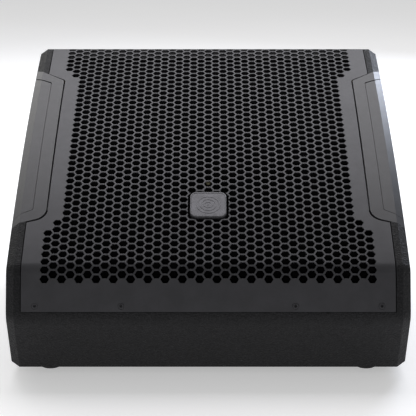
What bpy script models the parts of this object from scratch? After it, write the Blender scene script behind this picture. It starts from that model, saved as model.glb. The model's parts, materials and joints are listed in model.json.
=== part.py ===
"""Stage monitor wedge: plywood cabinet, folded steel grille, 12 inch coaxial driver, rear amplifier.

Metres, +Z up. X runs across the cabinet, and the sloping grille faces the performer on the -Y side.
The origin is on the floor, under the middle of the cabinet.
"""
import math

import bmesh
import bpy
from mathutils import Matrix, Vector

# Cabinet
WIDTH = 0.480
DEPTH = 0.456
FOOT_HEIGHT = 0.010
SIDE_THICK = 0.0177
PANEL_THICK = 0.015
FRONT_THICK = 0.022
GAP = 0.0003
BACK_Y = DEPTH / 2
FLOOR_Z = FOOT_HEIGHT
INNER_X = WIDTH / 2 - SIDE_THICK
CHAMFER_ACROSS = 0.010
CHAMFER_DEEP = 0.007
OUTSIDE_X = WIDTH / 2 + 0.010
SHOULDER_X = WIDTH / 2 - CHAMFER_ACROSS

# Side profile: outward normals as polar angles from +Y towards +Z
WALL_NORMAL = math.radians(204.8)
FRONT_NORMAL = math.radians(162.0)
SLOPE_START_NORMAL = math.radians(122.8)
SLOPE_END_NORMAL = math.radians(109.0)
TOP_NORMAL = math.radians(78.0)
NOSE_RADIUS = 0.023
NOSE_HEIGHT = 0.0745
FRONT_LENGTH = 0.0528
FOLD_RADIUS = 0.022
SLOPE_RADIUS = 1.860
CREST_RADIUS = 0.012
CORNER_RADIUS = 0.014
FRONT_SEAT_UP = 0.030
FRONT_TOP_UP = 0.044
RAIL_UP = 0.428
RAIL_ALONG = 0.190
BATTEN_UP = 0.002
BATTEN_ALONG = -0.202
BATTEN_PLAY = (0.0008, -0.0002)
PAD_X = 0.190
PAD_Y = (-0.130, 0.120)
PAD_THICK = 0.010

# Grille
SHEET = 0.0015
GRILLE_HALF = 0.2212
GRILLE_FLANGE = 0.014
GRILLE_SEAT = 0.0019
NOTCH_GAP = 0.0010
FOAM_TOP = 0.0038
FOAM_THICK = 0.005
FOAM_HALF = 0.216
FOAM_END = 0.422
FOAM_CLEAR = 0.016
SCREW_X = (-0.205, -0.103, 0.103, 0.205)
SCREW_UP = 0.0075
SCREW_HEAD_R = 0.0036
SCREW_SHAFT_R = 0.0019
SCREW_LENGTH = 0.016

# Badge and indicator light, as distances up the slope from the fold
BADGE_UP = 0.1013
BADGE_SIZE = (0.045, 0.0434)
BADGE_PROUD = 0.0018
BADGE_CORNER = 0.008
BADGE_GAP = 0.0027
CARRIER_HALF = 0.031
CARRIER_TOP = 0.151
CARRIER_BOTTOM = 0.074
LIGHT_UP = 0.1437

# Handle trims, as distances up the slope from the fold: outside the cabinet, at the chamfer, and inside
TRIM_INNER_X = 0.199
TRIM_LOW = (0.0650, 0.0813)
TRIM_HIGH = (0.4101, 0.3858, 0.3629)
TRIM_SIDE = (0.0682, 0.398)
TRIM_CORNERS = (0.018, 0.006)
TRIM_BODY_X = 0.185
TRIM_DEEP = 0.086
TRIM_FLANGE = 0.010
TRIM_SIDE_CORNER = 0.022
GRIP_INNER_X = 0.2158
GRIP_THICK = 0.026
GRIP_GAP = 0.0005
GRIP_TOP_GAP = 0.0022
GRIP_LOW = (0.0802, 0.0863, 0.0943)
GRIP_HIGH = (0.3878, 0.3631, 0.3554)
POCKET_UP = (0.102, 0.345)
POCKET_DEEP = 0.082
POCKET_X = 0.189
POCKET_CORNER = 0.014
BOWL_CLEAR_UP = (0.052, 0.401)

# Driver, in the baffle's frame: +Z out of the cabinet, 0 on the baffle's face
DRIVER_UP = 0.235
BAFFLE_DEEP = 0.038
BAFFLE_THICK = 0.018
DRIVER_HOLE_R = 0.141
BASKET_R = 0.155
MAGNET_R = 0.076
PORT_X = 0.120
PORT_ALONG = -0.170
PORT_R = 0.0235
PORT_WALL = 0.0025
PORT_LENGTH = 0.080

# Feet
FOOT_R = 0.014
FOOT_X = 0.195
FOOT_Y = (-0.165, 0.184)

# Rear panel, in its own frame: X to the right and Y up as seen from behind, +Z out
BACK_RECESS = 0.014
AMP_SIZE = (0.300, 0.200)
AMP_HEIGHT = 0.165
AMP_THICK = 0.003
TRAY_DEEP = 0.062
TRAY_SIZE = (0.278, 0.178)
TRAY_WALL = 0.0015
SOCKET_R = 0.0117
INPUT_AT = (-0.112, 0.222)
LINK_AT = (-0.066, 0.222)
KNOB_AT = (-0.112, 0.168)
SLIDER_AT = (-0.066, 0.168)
BUTTON_AT = (-0.034, 0.168)
POWER_AT = (-0.098, 0.100)
INLET_AT = (-0.054, 0.100)
SINK_AT = (0.062, 0.198)
SINK_SIZE = (0.134, 0.110)
ROCKER_TILT = math.radians(-8)
SLIDER_TRAVEL = 0.004

STEPS = 32


# ---------------------------------------------------------------- scene

def clear_scene():
    for item in list(bpy.data.objects):
        bpy.data.objects.remove(item, do_unlink=True)


def new_collection(name):
    group = bpy.data.collections.new(name)
    bpy.context.scene.collection.children.link(group)
    return group


clear_scene()
PARTS = new_collection("stage_monitor_wedge")
CUTTERS = new_collection("cutters")


def material(name, colour, roughness, metallic=0.0):
    made = bpy.data.materials.new(name)
    made.use_nodes = True
    shader = made.node_tree.nodes["Principled BSDF"]
    shader.inputs["Base Color"].default_value = (*colour, 1.0)
    shader.inputs["Roughness"].default_value = roughness
    shader.inputs["Metallic"].default_value = metallic
    made.diffuse_color = (*colour, 1.0)
    return made


COATING = material("textured_coating", (0.020, 0.020, 0.022), 0.85)
PLYWOOD = material("plywood", (0.48, 0.34, 0.20), 0.7)
GRILLE_PAINT = material("grille_paint", (0.055, 0.054, 0.058), 0.45, 0.3)
TRIM_PLASTIC = material("trim_plastic", (0.060, 0.059, 0.062), 0.42)
BADGE_FINISH = material("badge_finish", (0.14, 0.14, 0.15), 0.4, 0.4)
FOAM = material("black_foam", (0.010, 0.010, 0.010), 0.95)
WADDING = material("wadding", (0.45, 0.44, 0.42), 0.95)
RUBBER = material("rubber", (0.018, 0.018, 0.018), 0.75)
BLACK_STEEL = material("black_steel", (0.030, 0.030, 0.032), 0.4, 0.6)
BRIGHT_STEEL = material("bright_steel", (0.62, 0.62, 0.62), 0.3, 1.0)
FERRITE = material("ferrite", (0.05, 0.05, 0.05), 0.6)
PAPER = material("cone_paper", (0.025, 0.024, 0.023), 0.9)
PANEL_PAINT = material("panel_paint", (0.022, 0.022, 0.024), 0.5, 0.2)
BLACK_PLASTIC = material("black_plastic", (0.022, 0.022, 0.022), 0.45)
GREEN_BOARD = material("green_board", (0.02, 0.14, 0.05), 0.5)
COPPER = material("copper_coil", (0.72, 0.36, 0.16), 0.4, 0.8)
LENS = material("lens", (0.85, 0.80, 0.45), 0.2)
GREY_CONTROL = material("grey_control", (0.30, 0.30, 0.31), 0.5)


# ---------------------------------------------------------------- modelling helpers

def wear(item, finish):
    """Gives an object its only material."""
    item.data.materials.clear()
    item.data.materials.append(finish)
    return item


def place(name, mesh, frame, finish=None):
    item = bpy.data.objects.new(name, mesh)
    item.matrix_world = frame
    (PARTS if finish else CUTTERS).objects.link(item)
    if finish:
        wear(item, finish)
    else:
        item.hide_render = True
        item.display_type = 'WIRE'
    return item


def tidy_mesh(mesh):
    """Welds doubled points and turns every face outwards."""
    work = bmesh.new()
    work.from_mesh(mesh)
    bmesh.ops.remove_doubles(work, verts=work.verts, dist=0.00001)
    bmesh.ops.recalc_face_normals(work, faces=work.faces)
    work.to_mesh(mesh)
    work.free()
    return mesh


def evaluated_mesh(item):
    bpy.context.view_layer.update()
    graph = bpy.context.evaluated_depsgraph_get()
    return bpy.data.meshes.new_from_object(item.evaluated_get(graph))


def plate(name, outline, low, high, frame, finish=None, holes=()):
    """A flat outline in the frame's XY plane, filled from low to high along its Z."""
    curve = bpy.data.curves.new(name, 'CURVE')
    curve.dimensions = '2D'
    curve.fill_mode = 'BOTH'
    curve.extrude = (high - low) / 2
    for ring in (outline, *holes):
        spline = curve.splines.new('POLY')
        spline.points.add(len(ring) - 1)
        for point, (x, y) in zip(spline.points, ring):
            point.co = (x, y, 0.0, 1.0)
        spline.use_cyclic_u = True
    guide = bpy.data.objects.new(name + "_outline", curve)
    CUTTERS.objects.link(guide)
    mesh = tidy_mesh(evaluated_mesh(guide))
    bpy.data.objects.remove(guide, do_unlink=True)
    mesh.name = name
    return place(name, mesh, frame @ Matrix.Translation((0, 0, (low + high) / 2)), finish)


def turned(name, profile, frame, finish=None, steps=STEPS):
    """A body turned about the frame's Z from (radius, height) points; a hole stays open if none is at 0."""
    area = sum(a[0] * b[1] - b[0] * a[1] for a, b in zip(profile, profile[1:] + profile[:1]))
    points = profile if area < 0 else profile[::-1]
    solid = min(r for r, _ in points) <= 0
    if solid:
        while not (points[0][0] <= 0 and points[-1][0] <= 0):
            points = points[1:] + points[:1]
    edges = [(i, i + 1) for i in range(len(points) - 1)]
    if not solid:
        edges.append((len(points) - 1, 0))
    mesh = bpy.data.meshes.new(name)
    mesh.from_pydata([(r, 0.0, z) for r, z in points], edges, [])
    item = place(name, mesh, frame, finish)
    screw = item.modifiers.new("turn", 'SCREW')
    screw.steps = steps
    screw.render_steps = steps
    screw.use_merge_vertices = True
    screw.merge_threshold = 0.00001
    return item


def cylinder(name, radius, low, high, frame, finish=None, steps=24):
    work = bmesh.new()
    bmesh.ops.create_cone(work, cap_ends=True, segments=steps, radius1=radius, radius2=radius,
                          depth=high - low)
    mesh = bpy.data.meshes.new(name)
    work.to_mesh(mesh)
    work.free()
    return place(name, mesh, frame @ Matrix.Translation((0, 0, (low + high) / 2)), finish)


def box(name, low, high, frame, finish=None):
    size = [b - a for a, b in zip(low, high)]
    middle = [(a + b) / 2 for a, b in zip(low, high)]
    work = bmesh.new()
    bmesh.ops.create_cube(work, size=1.0)
    bmesh.ops.scale(work, vec=size, verts=work.verts)
    mesh = bpy.data.meshes.new(name)
    work.to_mesh(mesh)
    work.free()
    return place(name, mesh, frame @ Matrix.Translation(middle), finish)


def combine(item, other, operation='DIFFERENCE'):
    step = item.modifiers.new(operation.lower(), 'BOOLEAN')
    step.operation = operation
    step.solver = 'EXACT'
    step.object = other
    return item


def bevel(item, width, segments=2, angle=40):
    edge = item.modifiers.new("bevel", 'BEVEL')
    edge.width = width
    edge.segments = segments
    edge.limit_method = 'ANGLE'
    edge.angle_limit = math.radians(angle)
    return item


def mirrored(item, name):
    """The same piece for the other side of the cabinet."""
    mesh = evaluated_mesh(item)
    mesh.transform(Matrix.Scale(-1, 4, (1, 0, 0)) @ item.matrix_world)
    mesh.flip_normals()
    mesh.name = name
    return place(name, mesh, Matrix.Identity(4), item.data.materials[0])


def arc(centre, radius, start, end, steps):
    """Points on a circle from one polar angle to another, ends included."""
    angles = [start + (end - start) * i / steps for i in range(steps + 1)]
    return [(centre[0] + radius * math.cos(a), centre[1] + radius * math.sin(a)) for a in angles]


def polar(centre, radius, angle):
    return (centre[0] + radius * math.cos(angle), centre[1] + radius * math.sin(angle))


def rounded(corners, steps=4):
    """An outline from (x, y, corner radius) points."""
    points = []
    for i, (x, y, radius) in enumerate(corners):
        here = Vector((x, y))
        before = (Vector(corners[i - 1][:2]) - here).normalized()
        after = (Vector(corners[(i + 1) % len(corners)][:2]) - here).normalized()
        if radius <= 0:
            points.append((x, y))
            continue
        half = before.angle(after) / 2
        middle = here + (before + after).normalized() * radius / math.sin(half)
        first = here + before * radius / math.tan(half) - middle
        last = here + after * radius / math.tan(half) - middle
        start = math.atan2(first.y, first.x)
        turn = math.remainder(math.atan2(last.y, last.x) - start, math.tau)
        points += arc(middle, radius, start, start + turn, steps)
    return points


def rectangle(size, centre=(0.0, 0.0), radius=0.0, grow=0.0):
    half_x = size[0] / 2 + grow
    half_y = size[1] / 2 + grow
    corner = radius + grow if radius else 0.0
    signs = ((1, 1), (-1, 1), (-1, -1), (1, -1))
    return rounded([(centre[0] + half_x * a, centre[1] + half_y * b, corner) for a, b in signs])


def circle(centre, radius, steps=24):
    return arc(centre, radius, 0.0, math.tau, steps)[:-1]


# ---------------------------------------------------------------- side profile, as (y, z)

NOSE_CENTRE = (-DEPTH / 2 + NOSE_RADIUS, FLOOR_Z + NOSE_HEIGHT)
GRILLE_FOOT = polar(NOSE_CENTRE, NOSE_RADIUS, FRONT_NORMAL)
FRONT_UP = (math.cos(FRONT_NORMAL - math.pi / 2), math.sin(FRONT_NORMAL - math.pi / 2))
FOLD_POINT = (GRILLE_FOOT[0] + FRONT_LENGTH * FRONT_UP[0], GRILLE_FOOT[1] + FRONT_LENGTH * FRONT_UP[1])
SLOPE_CENTRE = polar(FOLD_POINT, -SLOPE_RADIUS, SLOPE_START_NORMAL)


def fold_centre():
    """The centre that is a fold radius inside both the front face and the sloping face."""
    start = polar(GRILLE_FOOT, -FOLD_RADIUS, FRONT_NORMAL)
    reach = SLOPE_RADIUS - FOLD_RADIUS
    off_y = start[0] - SLOPE_CENTRE[0]
    off_z = start[1] - SLOPE_CENTRE[1]
    along = off_y * FRONT_UP[0] + off_z * FRONT_UP[1]
    rise = -along + math.sqrt(along ** 2 - off_y ** 2 - off_z ** 2 + reach ** 2)
    return (start[0] + rise * FRONT_UP[0], start[1] + rise * FRONT_UP[1])


FOLD_CENTRE = fold_centre()
FOLD_NORMAL = math.atan2(FOLD_CENTRE[1] - SLOPE_CENTRE[1], FOLD_CENTRE[0] - SLOPE_CENTRE[0])
CREST_CENTRE = polar(SLOPE_CENTRE, SLOPE_RADIUS - CREST_RADIUS, SLOPE_END_NORMAL)
TOP_ALONG = (math.cos(TOP_NORMAL - math.pi / 2), math.sin(TOP_NORMAL - math.pi / 2))


def front_at(up, depth):
    """A point on the front face, so far up from the grille's foot and so deep under the face."""
    along = (GRILLE_FOOT[0] + up * FRONT_UP[0], GRILLE_FOOT[1] + up * FRONT_UP[1])
    return polar(along, -depth, FRONT_NORMAL)


def slope_at(up, depth):
    """A point so far up the sloping face from the fold, and so deep under it."""
    return polar(SLOPE_CENTRE, SLOPE_RADIUS - depth, SLOPE_START_NORMAL - up / SLOPE_RADIUS)


def top_at(back, depth):
    """A point on the top face, so far behind the crest and so deep under the face."""
    start = polar(CREST_CENTRE, CREST_RADIUS - depth, TOP_NORMAL)
    return (start[0] + back * TOP_ALONG[0], start[1] + back * TOP_ALONG[1])


def wall_at(down, depth):
    """A point on the front wall, so far down from the nose and so deep under the face."""
    start = polar(NOSE_CENTRE, NOSE_RADIUS - depth, WALL_NORMAL)
    along = WALL_NORMAL + math.pi / 2
    return (start[0] + down * math.cos(along), start[1] + down * math.sin(along))


def wall_length(depth):
    """How far the front wall runs down from the nose to the cabinet's underside."""
    top = wall_at(0.0, depth)
    return (top[1] - FLOOR_Z) / -math.sin(WALL_NORMAL + math.pi / 2)


def top_length():
    """How far the top face runs from the crest to the rear corner's arc."""
    return (BACK_Y - CORNER_RADIUS - CREST_CENTRE[0]) / TOP_ALONG[0]


CORNER_CENTRE = polar(top_at(top_length(), CREST_RADIUS), CREST_RADIUS - CORNER_RADIUS, TOP_NORMAL)
CORNER_CENTRE = (BACK_Y - CORNER_RADIUS, CORNER_CENTRE[1])


def fold_and_slope(depth, fold_steps=5, slope_steps=14):
    fold = arc(FOLD_CENTRE, FOLD_RADIUS - depth, FRONT_NORMAL, FOLD_NORMAL, fold_steps)
    slope = arc(SLOPE_CENTRE, SLOPE_RADIUS - depth, FOLD_NORMAL, SLOPE_END_NORMAL, slope_steps)
    return fold + slope[1:]


def crest(depth):
    return arc(CREST_CENTRE, CREST_RADIUS - depth, SLOPE_END_NORMAL, TOP_NORMAL, 4)[1:]


def slope_run(low, high, depth, steps=10):
    return [slope_at(low + (high - low) * i / steps, depth) for i in range(steps + 1)]


def side_outline():
    nose = arc(NOSE_CENTRE, NOSE_RADIUS, WALL_NORMAL, FRONT_NORMAL, 6)
    top_corner = arc(CORNER_CENTRE, CORNER_RADIUS, TOP_NORMAL, 0.0, 4)
    low_corner = arc((BACK_Y - CORNER_RADIUS, FLOOR_Z + CORNER_RADIUS), CORNER_RADIUS, 0.0,
                     -math.pi / 2, 4)
    foot = wall_at(wall_length(0.0), 0.0)
    return [foot] + nose + fold_and_slope(0.0) + crest(0.0) + top_corner + low_corner


# ---------------------------------------------------------------- frames

# Local X, Y and Z are world Y, Z and X: for outlines drawn in the side profile
SIDEWAYS = Matrix(((0, 0, 1, 0), (1, 0, 0, 0), (0, 1, 0, 0), (0, 0, 0, 1)))
DRIVER_NORMAL = SLOPE_START_NORMAL - DRIVER_UP / SLOPE_RADIUS
DRIVER_TILT = DRIVER_NORMAL - math.pi / 2
DRIVER_POINT = slope_at(DRIVER_UP, BAFFLE_DEEP)
# On the baffle's face, with Y up the slope and Z out of the cabinet
BAFFLE = Matrix.Translation((0, *DRIVER_POINT)) @ Matrix.Rotation(DRIVER_TILT, 4, 'X')
# On the front face at the grille's foot, with Y up the face and Z out of the cabinet
FRONT = Matrix.Translation((0, *GRILLE_FOOT)) @ Matrix.Rotation(FRONT_NORMAL - math.pi / 2, 4, 'X')
# On the rear panel's outer face, with X to the right as seen from behind and Z out
BACK_FACE_Y = BACK_Y - BACK_RECESS
REAR_FACE_Y = BACK_FACE_Y + GAP + AMP_THICK
REAR = Matrix(((-1, 0, 0, 0), (0, 0, 1, REAR_FACE_Y), (0, 1, 0, 0), (0, 0, 0, 1)))
FLOOR = Matrix.Identity(4)


def slope_frame(up):
    """On the sloping face at X 0, with Y up the slope and Z out of the cabinet."""
    angle = SLOPE_START_NORMAL - up / SLOPE_RADIUS - math.pi / 2
    return Matrix.Translation((0, *slope_at(up, 0.0))) @ Matrix.Rotation(angle, 4, 'X')


def plan_y(up):
    """Where a distance up the sloping face lies along the baffle frame's Y."""
    y, z = slope_at(up, 0.0)
    return (BAFFLE.inverted() @ Vector((0, y, z))).y


def slab(name, outer, inner, low_x, high_x, finish=None):
    """A band of the side profile between two open runs of points, from low_x to high_x."""
    return plate(name, outer + inner[::-1], low_x, high_x, SIDEWAYS, finish)


# ---------------------------------------------------------------- cabinet

def side_blank(name, inner_x, finish):
    """The right-hand side of the cabinet from inner_x outwards, chamfered round its edge."""
    item = plate(name, side_outline(), inner_x, WIDTH / 2 - CHAMFER_ACROSS, SIDEWAYS, finish)
    work = bmesh.new()
    work.from_mesh(item.data)
    bmesh.ops.dissolve_limit(work, angle_limit=0.001, verts=work.verts, edges=work.edges)
    work.faces.ensure_lookup_table()
    outer = max(work.faces, key=lambda face: face.calc_center_median().z)
    bmesh.ops.inset_region(work, faces=[outer], thickness=CHAMFER_DEEP, depth=CHAMFER_ACROSS)
    work.to_mesh(item.data)
    work.free()
    return item


def trim_outline(grow):
    """The handle trim's outline on the sloping face, in the baffle frame's XY."""
    return rounded([
        (OUTSIDE_X, plan_y(TRIM_LOW[0]) - grow, 0.0),
        (OUTSIDE_X, plan_y(TRIM_HIGH[0]) + grow, 0.0),
        (SHOULDER_X, plan_y(TRIM_HIGH[1]) + grow, 0.003),
        (TRIM_INNER_X - grow, plan_y(TRIM_HIGH[2]) + grow, TRIM_CORNERS[1]),
        (TRIM_INNER_X - grow, plan_y(TRIM_LOW[1]) - grow, TRIM_CORNERS[0]),
    ], 5)


def grip_outline(grow, top_grow):
    """The grip's outline on the sloping face, in the baffle frame's XY."""
    return rounded([
        (OUTSIDE_X, plan_y(GRIP_LOW[0]) - grow, 0.0),
        (OUTSIDE_X, plan_y(GRIP_HIGH[0]) + top_grow, 0.0),
        (SHOULDER_X, plan_y(GRIP_HIGH[1]) + top_grow, 0.003),
        (GRIP_INNER_X - grow, plan_y(GRIP_HIGH[2]) + top_grow, 0.003),
        (GRIP_INNER_X - grow, plan_y(GRIP_LOW[2]) - grow, 0.004),
        (SHOULDER_X, plan_y(GRIP_LOW[1]) - grow, 0.003),
    ], 4)


def trim_side(name, grow, low_x):
    """What the trim fills, seen from the side, with rounded lower corners."""
    low = plan_y(TRIM_SIDE[0]) - grow
    high = plan_y(TRIM_SIDE[1]) + grow
    floor = BAFFLE_DEEP - TRIM_DEEP - grow
    outline = rounded([(low, 0.080, 0.0), (low, floor, TRIM_SIDE_CORNER), (high, floor, TRIM_SIDE_CORNER),
                       (high, 0.080, 0.0)], 5)
    return plate(name, outline, low_x, WIDTH / 2 + 0.012, BAFFLE @ SIDEWAYS)


def trim_cutter(name, grow):
    body = trim_side(name, grow, TRIM_INNER_X - 0.005)
    return combine(body, plate(name + "_column", trim_outline(grow), -0.12, 0.10, BAFFLE), 'INTERSECT')


def pocket_side(name, grow, top, low_x, high_x):
    """The hand recess seen from the side, up to a height over the baffle's face."""
    low = plan_y(POCKET_UP[0]) - grow
    high = plan_y(POCKET_UP[1]) + grow
    floor = BAFFLE_DEEP - POCKET_DEEP - grow * 0.9
    corner = POCKET_CORNER + grow
    outline = rounded([(low, top, 0.0), (low, floor, corner), (high, floor, corner), (high, top, 0.0)], 5)
    return plate(name, outline, low_x, high_x, BAFFLE @ SIDEWAYS)


def grip_cutter(name, grow, top_grow, bottom):
    band = slab(name, slope_run(0.030, 0.410, -0.008, 12), slope_run(0.030, 0.410, bottom, 12),
                TRIM_INNER_X, WIDTH / 2 + 0.012)
    column = plate(name + "_column", grip_outline(grow, top_grow), -0.12, 0.10, BAFFLE)
    return combine(band, column, 'INTERSECT')


def make_sides():
    right = side_blank("side_panel_right", INNER_X, COATING)
    combine(right, trim_cutter("trim_notch", GAP))
    mirrored(right, "side_panel_left")


def make_handles():
    """Each trim is a bowl for the hand, and carries a separate grip over the bowl's upper edge."""
    trim = side_blank("handle_trim_right", TRIM_INNER_X - 0.002, TRIM_PLASTIC)
    combine(trim, trim_cutter("trim_shape", 0.0), 'INTERSECT')
    bowl = pocket_side("bowl_back", POCKET_X - TRIM_BODY_X, BAFFLE_DEEP - TRIM_FLANGE, TRIM_BODY_X,
                       TRIM_INNER_X + 0.004)
    combine(trim, bowl, 'UNION')
    combine(trim, grip_cutter("grip_seat", GRIP_GAP, GRIP_TOP_GAP, GRIP_THICK + GAP))
    combine(trim, pocket_side("pocket", 0.0, BAFFLE_DEEP - GRIP_THICK + 0.001, POCKET_X,
                              WIDTH / 2 + 0.02))
    grip = side_blank("handle_grip_right", TRIM_INNER_X, TRIM_PLASTIC)
    combine(grip, grip_cutter("grip_shape", 0.0, 0.0, GRIP_THICK), 'INTERSECT')
    mirrored(trim, "handle_trim_left")
    mirrored(grip, "handle_grip_left")


def make_front():
    """The front wall: rounded nose, a seat for the grille's foot, and a step back under the foam."""
    foam_clear = FOAM_TOP + FOAM_THICK + 0.0004
    inner_top = front_at(FRONT_TOP_UP, FRONT_THICK)
    inner_low = wall_at(wall_length(FRONT_THICK), FRONT_THICK)
    knee = polar(NOSE_CENTRE, NOSE_RADIUS - FRONT_THICK, FRONT_NORMAL)
    outline = [wall_at(wall_length(0.0), 0.0)]
    outline += arc(NOSE_CENTRE, NOSE_RADIUS, WALL_NORMAL, FRONT_NORMAL, 6)
    outline += [front_at(0.0, GRILLE_SEAT), front_at(FRONT_SEAT_UP, GRILLE_SEAT)]
    outline += [front_at(FRONT_SEAT_UP, foam_clear), front_at(FRONT_TOP_UP, foam_clear)]
    outline += [inner_top, knee, inner_low]
    wall = plate("front_panel", outline, -INNER_X + GAP, INNER_X - GAP, SIDEWAYS, COATING)
    for place_x in SCREW_X:
        combine(wall, cylinder("pilot", SCREW_SHAFT_R + GAP, -0.019, 0.002,
                               FRONT @ Matrix.Translation((place_x, SCREW_UP, 0)), steps=12))


def make_bottom():
    start = wall_at(wall_length(FRONT_THICK), FRONT_THICK)[0] + GAP
    shift = PANEL_THICK * math.tan(WALL_NORMAL - math.pi)
    outline = [(start, FLOOR_Z), (start - shift, FLOOR_Z + PANEL_THICK),
               (BACK_Y, FLOOR_Z + PANEL_THICK)]
    outline += arc((BACK_Y - CORNER_RADIUS, FLOOR_Z + CORNER_RADIUS), CORNER_RADIUS, 0.0,
                   -math.pi / 2, 4)
    plate("bottom_panel", outline, -INNER_X + GAP, INNER_X - GAP, SIDEWAYS, COATING)


TOP_UNDER_Z = CORNER_CENTRE[1] - 0.003


def baffle_line(along, depth):
    """A side-profile point in the baffle's frame."""
    point = BAFFLE @ Vector((0, along, -depth))
    return (point.y, point.z)


def baffle_at_y(y, depth):
    """The side-profile point where the baffle reaches a given Y."""
    start = baffle_line(0.0, depth)
    return baffle_line((y - start[0]) / math.cos(DRIVER_TILT), depth)


def make_top():
    """A timber rail under the crest, which carries the grille's top and the baffle's upper edge."""
    inner_y = BACK_FACE_Y - PANEL_THICK - GAP
    outline = arc(SLOPE_CENTRE, SLOPE_RADIUS - GRILLE_SEAT, SLOPE_START_NORMAL - RAIL_UP / SLOPE_RADIUS,
                  SLOPE_END_NORMAL, 3)
    outline += crest(GRILLE_SEAT)
    outline += [top_at(GRILLE_FLANGE + GAP, GRILLE_SEAT), top_at(GRILLE_FLANGE + GAP, 0.0)]
    outline += arc(CORNER_CENTRE, CORNER_RADIUS, TOP_NORMAL, 0.0, 4)
    outline += [(BACK_Y, TOP_UNDER_Z), (inner_y, TOP_UNDER_Z), baffle_at_y(inner_y, -GAP),
                baffle_line(RAIL_ALONG, -GAP)]
    plate("top_rail", outline, -INNER_X + GAP, INNER_X - GAP, SIDEWAYS, COATING)


def make_back():
    half = INNER_X - GAP
    low = FLOOR_Z + PANEL_THICK + GAP
    outline = [(half, low), (half, TOP_UNDER_Z - GAP), (-half, TOP_UNDER_Z - GAP), (-half, low)]
    opening = rectangle((TRAY_SIZE[0] + 0.004, TRAY_SIZE[1] + 0.004), (0.0, AMP_HEIGHT), 0.006)
    back = -AMP_THICK - GAP
    plate("back_panel", outline, back - PANEL_THICK, back, REAR, COATING, [opening])


def make_baffle():
    clear = FRONT_THICK + GAP
    corners = []
    for depth in (0.0, BAFFLE_THICK):
        low = front_at(0.0, clear)
        start = baffle_line(0.0, depth)
        # Solve low + a * FRONT_UP = start + b * slope direction
        run = (math.cos(DRIVER_TILT), math.sin(DRIVER_TILT))
        cross = FRONT_UP[0] * run[1] - FRONT_UP[1] * run[0]
        rise = ((start[0] - low[0]) * run[1] - (start[1] - low[1]) * run[0]) / cross
        corners.append(front_at(rise, clear))
    inner_y = BACK_FACE_Y - PANEL_THICK - 2 * GAP
    outline = [corners[0], baffle_at_y(inner_y, 0.0), baffle_at_y(inner_y, BAFFLE_THICK), corners[1]]
    board = plate("baffle", outline, -INNER_X + GAP, INNER_X - GAP, SIDEWAYS, COATING)
    for side in (-1, 1):
        low_x, high_x = sorted((side * (TRIM_BODY_X - GAP), side * (INNER_X + 0.01)))
        low_y, high_y = (plan_y(up) for up in BOWL_CLEAR_UP)
        combine(board, box("bowl_clearance", (low_x, low_y, -0.03), (high_x, high_y, 0.01), BAFFLE))
        combine(board, cylinder("port_hole", PORT_R + PORT_WALL + GAP, -0.03, 0.01,
                                BAFFLE @ Matrix.Translation((side * PORT_X, PORT_ALONG, 0)), steps=32))
    combine(board, cylinder("driver_hole", DRIVER_HOLE_R, -0.03, 0.01, BAFFLE, steps=48))
    corner = (corners[1][0] + BATTEN_PLAY[0], corners[1][1] + BATTEN_PLAY[1])
    batten = [front_at(BATTEN_UP, clear), corner, baffle_line(BATTEN_ALONG, BAFFLE_THICK + GAP)]
    plate("lower_batten", batten, -INNER_X + 2 * GAP, INNER_X - 2 * GAP, SIDEWAYS, PLYWOOD)


def make_ports():
    for side, name in ((-1, "left"), (1, "right")):
        frame = BAFFLE @ Matrix.Translation((side * PORT_X, PORT_ALONG, 0))
        outer = PORT_R + PORT_WALL
        turned("port_tube_" + name, [(PORT_R + 0.004, 0.0033), (outer + 0.007, 0.0033), (outer + 0.007, GAP),
                                     (outer, GAP), (outer, -PORT_LENGTH), (PORT_R, -PORT_LENGTH),
                                     (PORT_R, -0.004)], frame, BLACK_PLASTIC, 32)


def make_damping():
    low = FLOOR_Z + PANEL_THICK + GAP
    pad = box("damping_pad", (-PAD_X, PAD_Y[0], low), (PAD_X, PAD_Y[1], low + PAD_THICK), FLOOR, WADDING)
    bevel(pad, 0.003, 1)


def make_feet():
    for end, foot_y in zip(("front", "rear"), FOOT_Y):
        for side, name in ((-1, "left"), (1, "right")):
            frame = Matrix.Translation((side * FOOT_X, foot_y, 0.0))
            top = FOOT_HEIGHT - GAP
            turned("foot_%s_%s" % (end, name), [(0.0, 0.005), (0.0045, 0.005), (0.0045, 0.0), (0.0125, 0.0),
                                                (0.0132, 0.0008), (FOOT_R, top), (0.0, top)],
                   frame, RUBBER, 28)


# ---------------------------------------------------------------- grille, badge and light

def screw_profile(grow):
    """A countersunk screw along Z, its head's top at 0."""
    head = SCREW_HEAD_R + grow
    shaft = SCREW_SHAFT_R + grow
    return [(0.0, 0.0), (head, 0.0), (head, -0.0004 - grow), (shaft, -0.0021 - grow),
            (shaft, -SCREW_LENGTH - grow), (0.0, -SCREW_LENGTH - grow)]


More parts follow.
